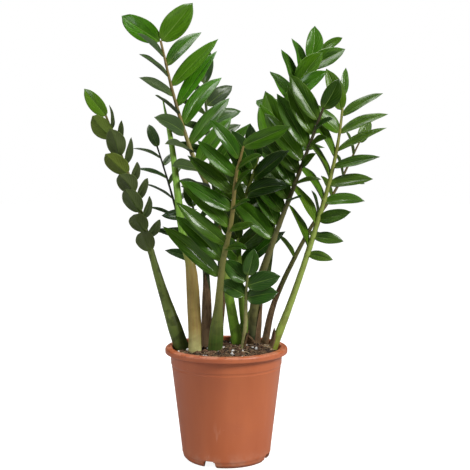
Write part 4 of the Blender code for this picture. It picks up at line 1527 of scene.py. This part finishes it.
def make_husks(stalks):
    """Dry sheaths at the feet of some stalks: name, start and end along it, turn, width, spread."""
    material = husk_finish()
    by_name = {stalk.frond.name: stalk for stalk in stalks}
    for number, (name, start, end, turn, width, spread) in enumerate((
        ("dark_right", 0.0, 0.07, -20, 2.6, 0.004),
        ("dark_right", 0.0, 0.20, 100, 2.0, 0.003),
        ("low_front", 0.0, 0.3, 60, 2.2, 0.003),
        ("middle", 0.0, 0.16, 150, 2.0, 0.004),
        ("far_right", 0.0, 0.08, -70, 2.2, 0.003),
        ("spear", 0.0, 0.2, 150, 2.4, 0.001),
        ("back_right", 0.0, 0.06, 0, 2.4, 0.004),
        ("behind_spear", 0.0, 0.5, 10, 3.6, 0.002),
        ("rear_right", 0.0, 0.26, -30, 2.6, 0.003),
        ("behind_tallest", 0.0, 0.22, 20, 3.0, 0.002),
    )):
        piece = husk(f"husk_{number + 1}", by_name[name], start, end, turn, width, spread, material)
        keep(piece, "stalk", f"stalk_{name}")


def make_ground():
    """The soil, with everything that lies on it."""
    ground = soil_ground()
    bark = grain_finish("bark_brown", (0.035, 0.018, 0.01), (0.2, 0.11, 0.06), 260)
    peat = grain_finish("peat_dark", (0.008, 0.006, 0.005), (0.07, 0.045, 0.03), 500)
    fibre = grain_finish("coir_fibre", (0.11, 0.06, 0.03), (0.36, 0.23, 0.12), 300)
    straw = grain_finish("straw_fibre", (0.3, 0.2, 0.1), (0.6, 0.47, 0.28), 300)
    white = grain_finish("perlite_white", (0.45, 0.43, 0.4), (0.9, 0.89, 0.86), 600)
    pieces = [
        ground,
        crumbs("peat_crumbs", ground, peat, 3, 80000, 0.0006, 0.0016, 0.8),
        crumbs("bark_bits", ground, bark, 11, 14000, 0.0012, 0.0036, 0.45),
        crumbs("white_lumps", ground, white, 29, 1100, 0.0018, 0.0034, 0.8, 0.99),
        crumbs("perlite", ground, white, 23, 4500, 0.0008, 0.0026, 0.8, 0.97),
        fibres("coir", ground, fibre, 31, 42000, 0.012, 0.00022),
        fibres("straw", ground, straw, 47, 14000, 0.014, 0.00030),
        fibres("coir_at_the_wall", ground, fibre, 59, 40000, 0.005, 0.00022),
        fibres("straw_at_the_wall", ground, straw, 61, 16000, 0.006, 0.00028),
    ]
    for piece in pieces:
        keep(piece, "potting_soil", "soil")


FLOOR_RADIUS = 14
FLOOR_CLEARANCE = 0.0002


def make_floor():
    """A plain pale floor, which shows almost white and lights the plant only softly."""
    mesh = bpy.data.meshes.new("floor")
    shape = bmesh.new()
    bmesh.ops.create_circle(shape, cap_ends=True, segments=96, radius=FLOOR_RADIUS)
    shape.to_mesh(mesh)
    shape.free()
    look = Finish("floor_white", Specular_IOR_Level=0.1, Emission_Strength=1.0)
    seen = look.add("ShaderNodeLightPath", {}, {}, "Is Camera Ray")
    look.feed("Emission Color", look.mix(seen, (0.02, 0.02, 0.02), (0.92, 0.92, 0.92)))
    look.feed("Base Color", look.mix(look.noise(3), (0.38, 0.38, 0.38), (0.42, 0.42, 0.42)))
    look.feed("Roughness", look.noise(3) * 0.1 + 0.8)
    mesh.materials.append(look.material)
    floor = placed("floor", mesh)
    floor.location.z = -FLOOR_CLEARANCE


def softbox(name, place, target, width, height, power, colour=(1, 1, 1)):
    """A soft rectangular lamp, in metres and watts, that faces the target."""
    lamp = bpy.data.lights.new(name, "AREA")
    lamp.shape = "RECTANGLE"
    lamp.size = width
    lamp.size_y = height
    lamp.energy = power
    lamp.color = colour
    obj = placed(name, lamp)
    obj.location = place
    obj.rotation_euler = (Vector(target) - Vector(place)).to_track_quat("-Z", "Y").to_euler()


def make_studio():
    """White air behind the plant, a dim pale sky to light it, and three soft lamps."""
    scene = bpy.context.scene
    world = bpy.data.worlds.new("studio")
    world.use_nodes = True
    scene.world = world
    air = Nodes(world.node_tree)
    background = world.node_tree.nodes["Background"]
    background.inputs["Color"].default_value = (1, 1, 1, 1)
    seen = air.add("ShaderNodeLightPath", {}, {}, "Is Camera Ray")
    heading = air.add("ShaderNodeTexCoord", {}, {}, "Generated")
    height = air.add("ShaderNodeSeparateXYZ", {}, {0: heading}, "Z")
    glossy = air.add("ShaderNodeLightPath", {}, {}, "Is Glossy Ray")
    sky = (height.rise(-0.2, 1.0) * 0.28 + 0.08) * (1 - glossy * 0.6)
    world.node_tree.links.new((seen * (1 - sky) + sky).socket, background.inputs["Strength"])
    softbox("key", (1.8, -1.45, 1.9), (0, 0, 0.3), 0.9, 0.9, 76)
    softbox("fill", (-2.0, -1.0, 1.2), (0, 0, 0.3), 0.7, 1.1, 20, (0.9, 0.96, 1.0))
    softbox("top", (-0.2, 0.5, 2.2), (0, 0, 0.2), 1.2, 1.2, 30)


# The lens is as long as this many widths of the film, in millimetres, and looks down by this angle.
FILM_WIDTH = 36
LENS_LENGTH = 1.85106
EYE = (0.012, -1.2, 0.383)
LOOK_DOWN = math.radians(3.5)


def make_camera():
    """A long lens level with the middle of the plant."""
    lens = bpy.data.cameras.new("camera")
    lens.sensor_width = FILM_WIDTH
    lens.lens = FILM_WIDTH * LENS_LENGTH
    camera = placed("camera", lens)
    camera.location = EYE
    camera.rotation_euler.x = math.pi / 2 - LOOK_DOWN
    bpy.context.scene.camera = camera


make_camera()
make_studio()
make_floor()
keep(nursery_pot(), "terracotta_plastic", "pot")
make_ground()
make_husks(make_plant())

bpy.context.scene.view_settings.view_transform = "Standard"
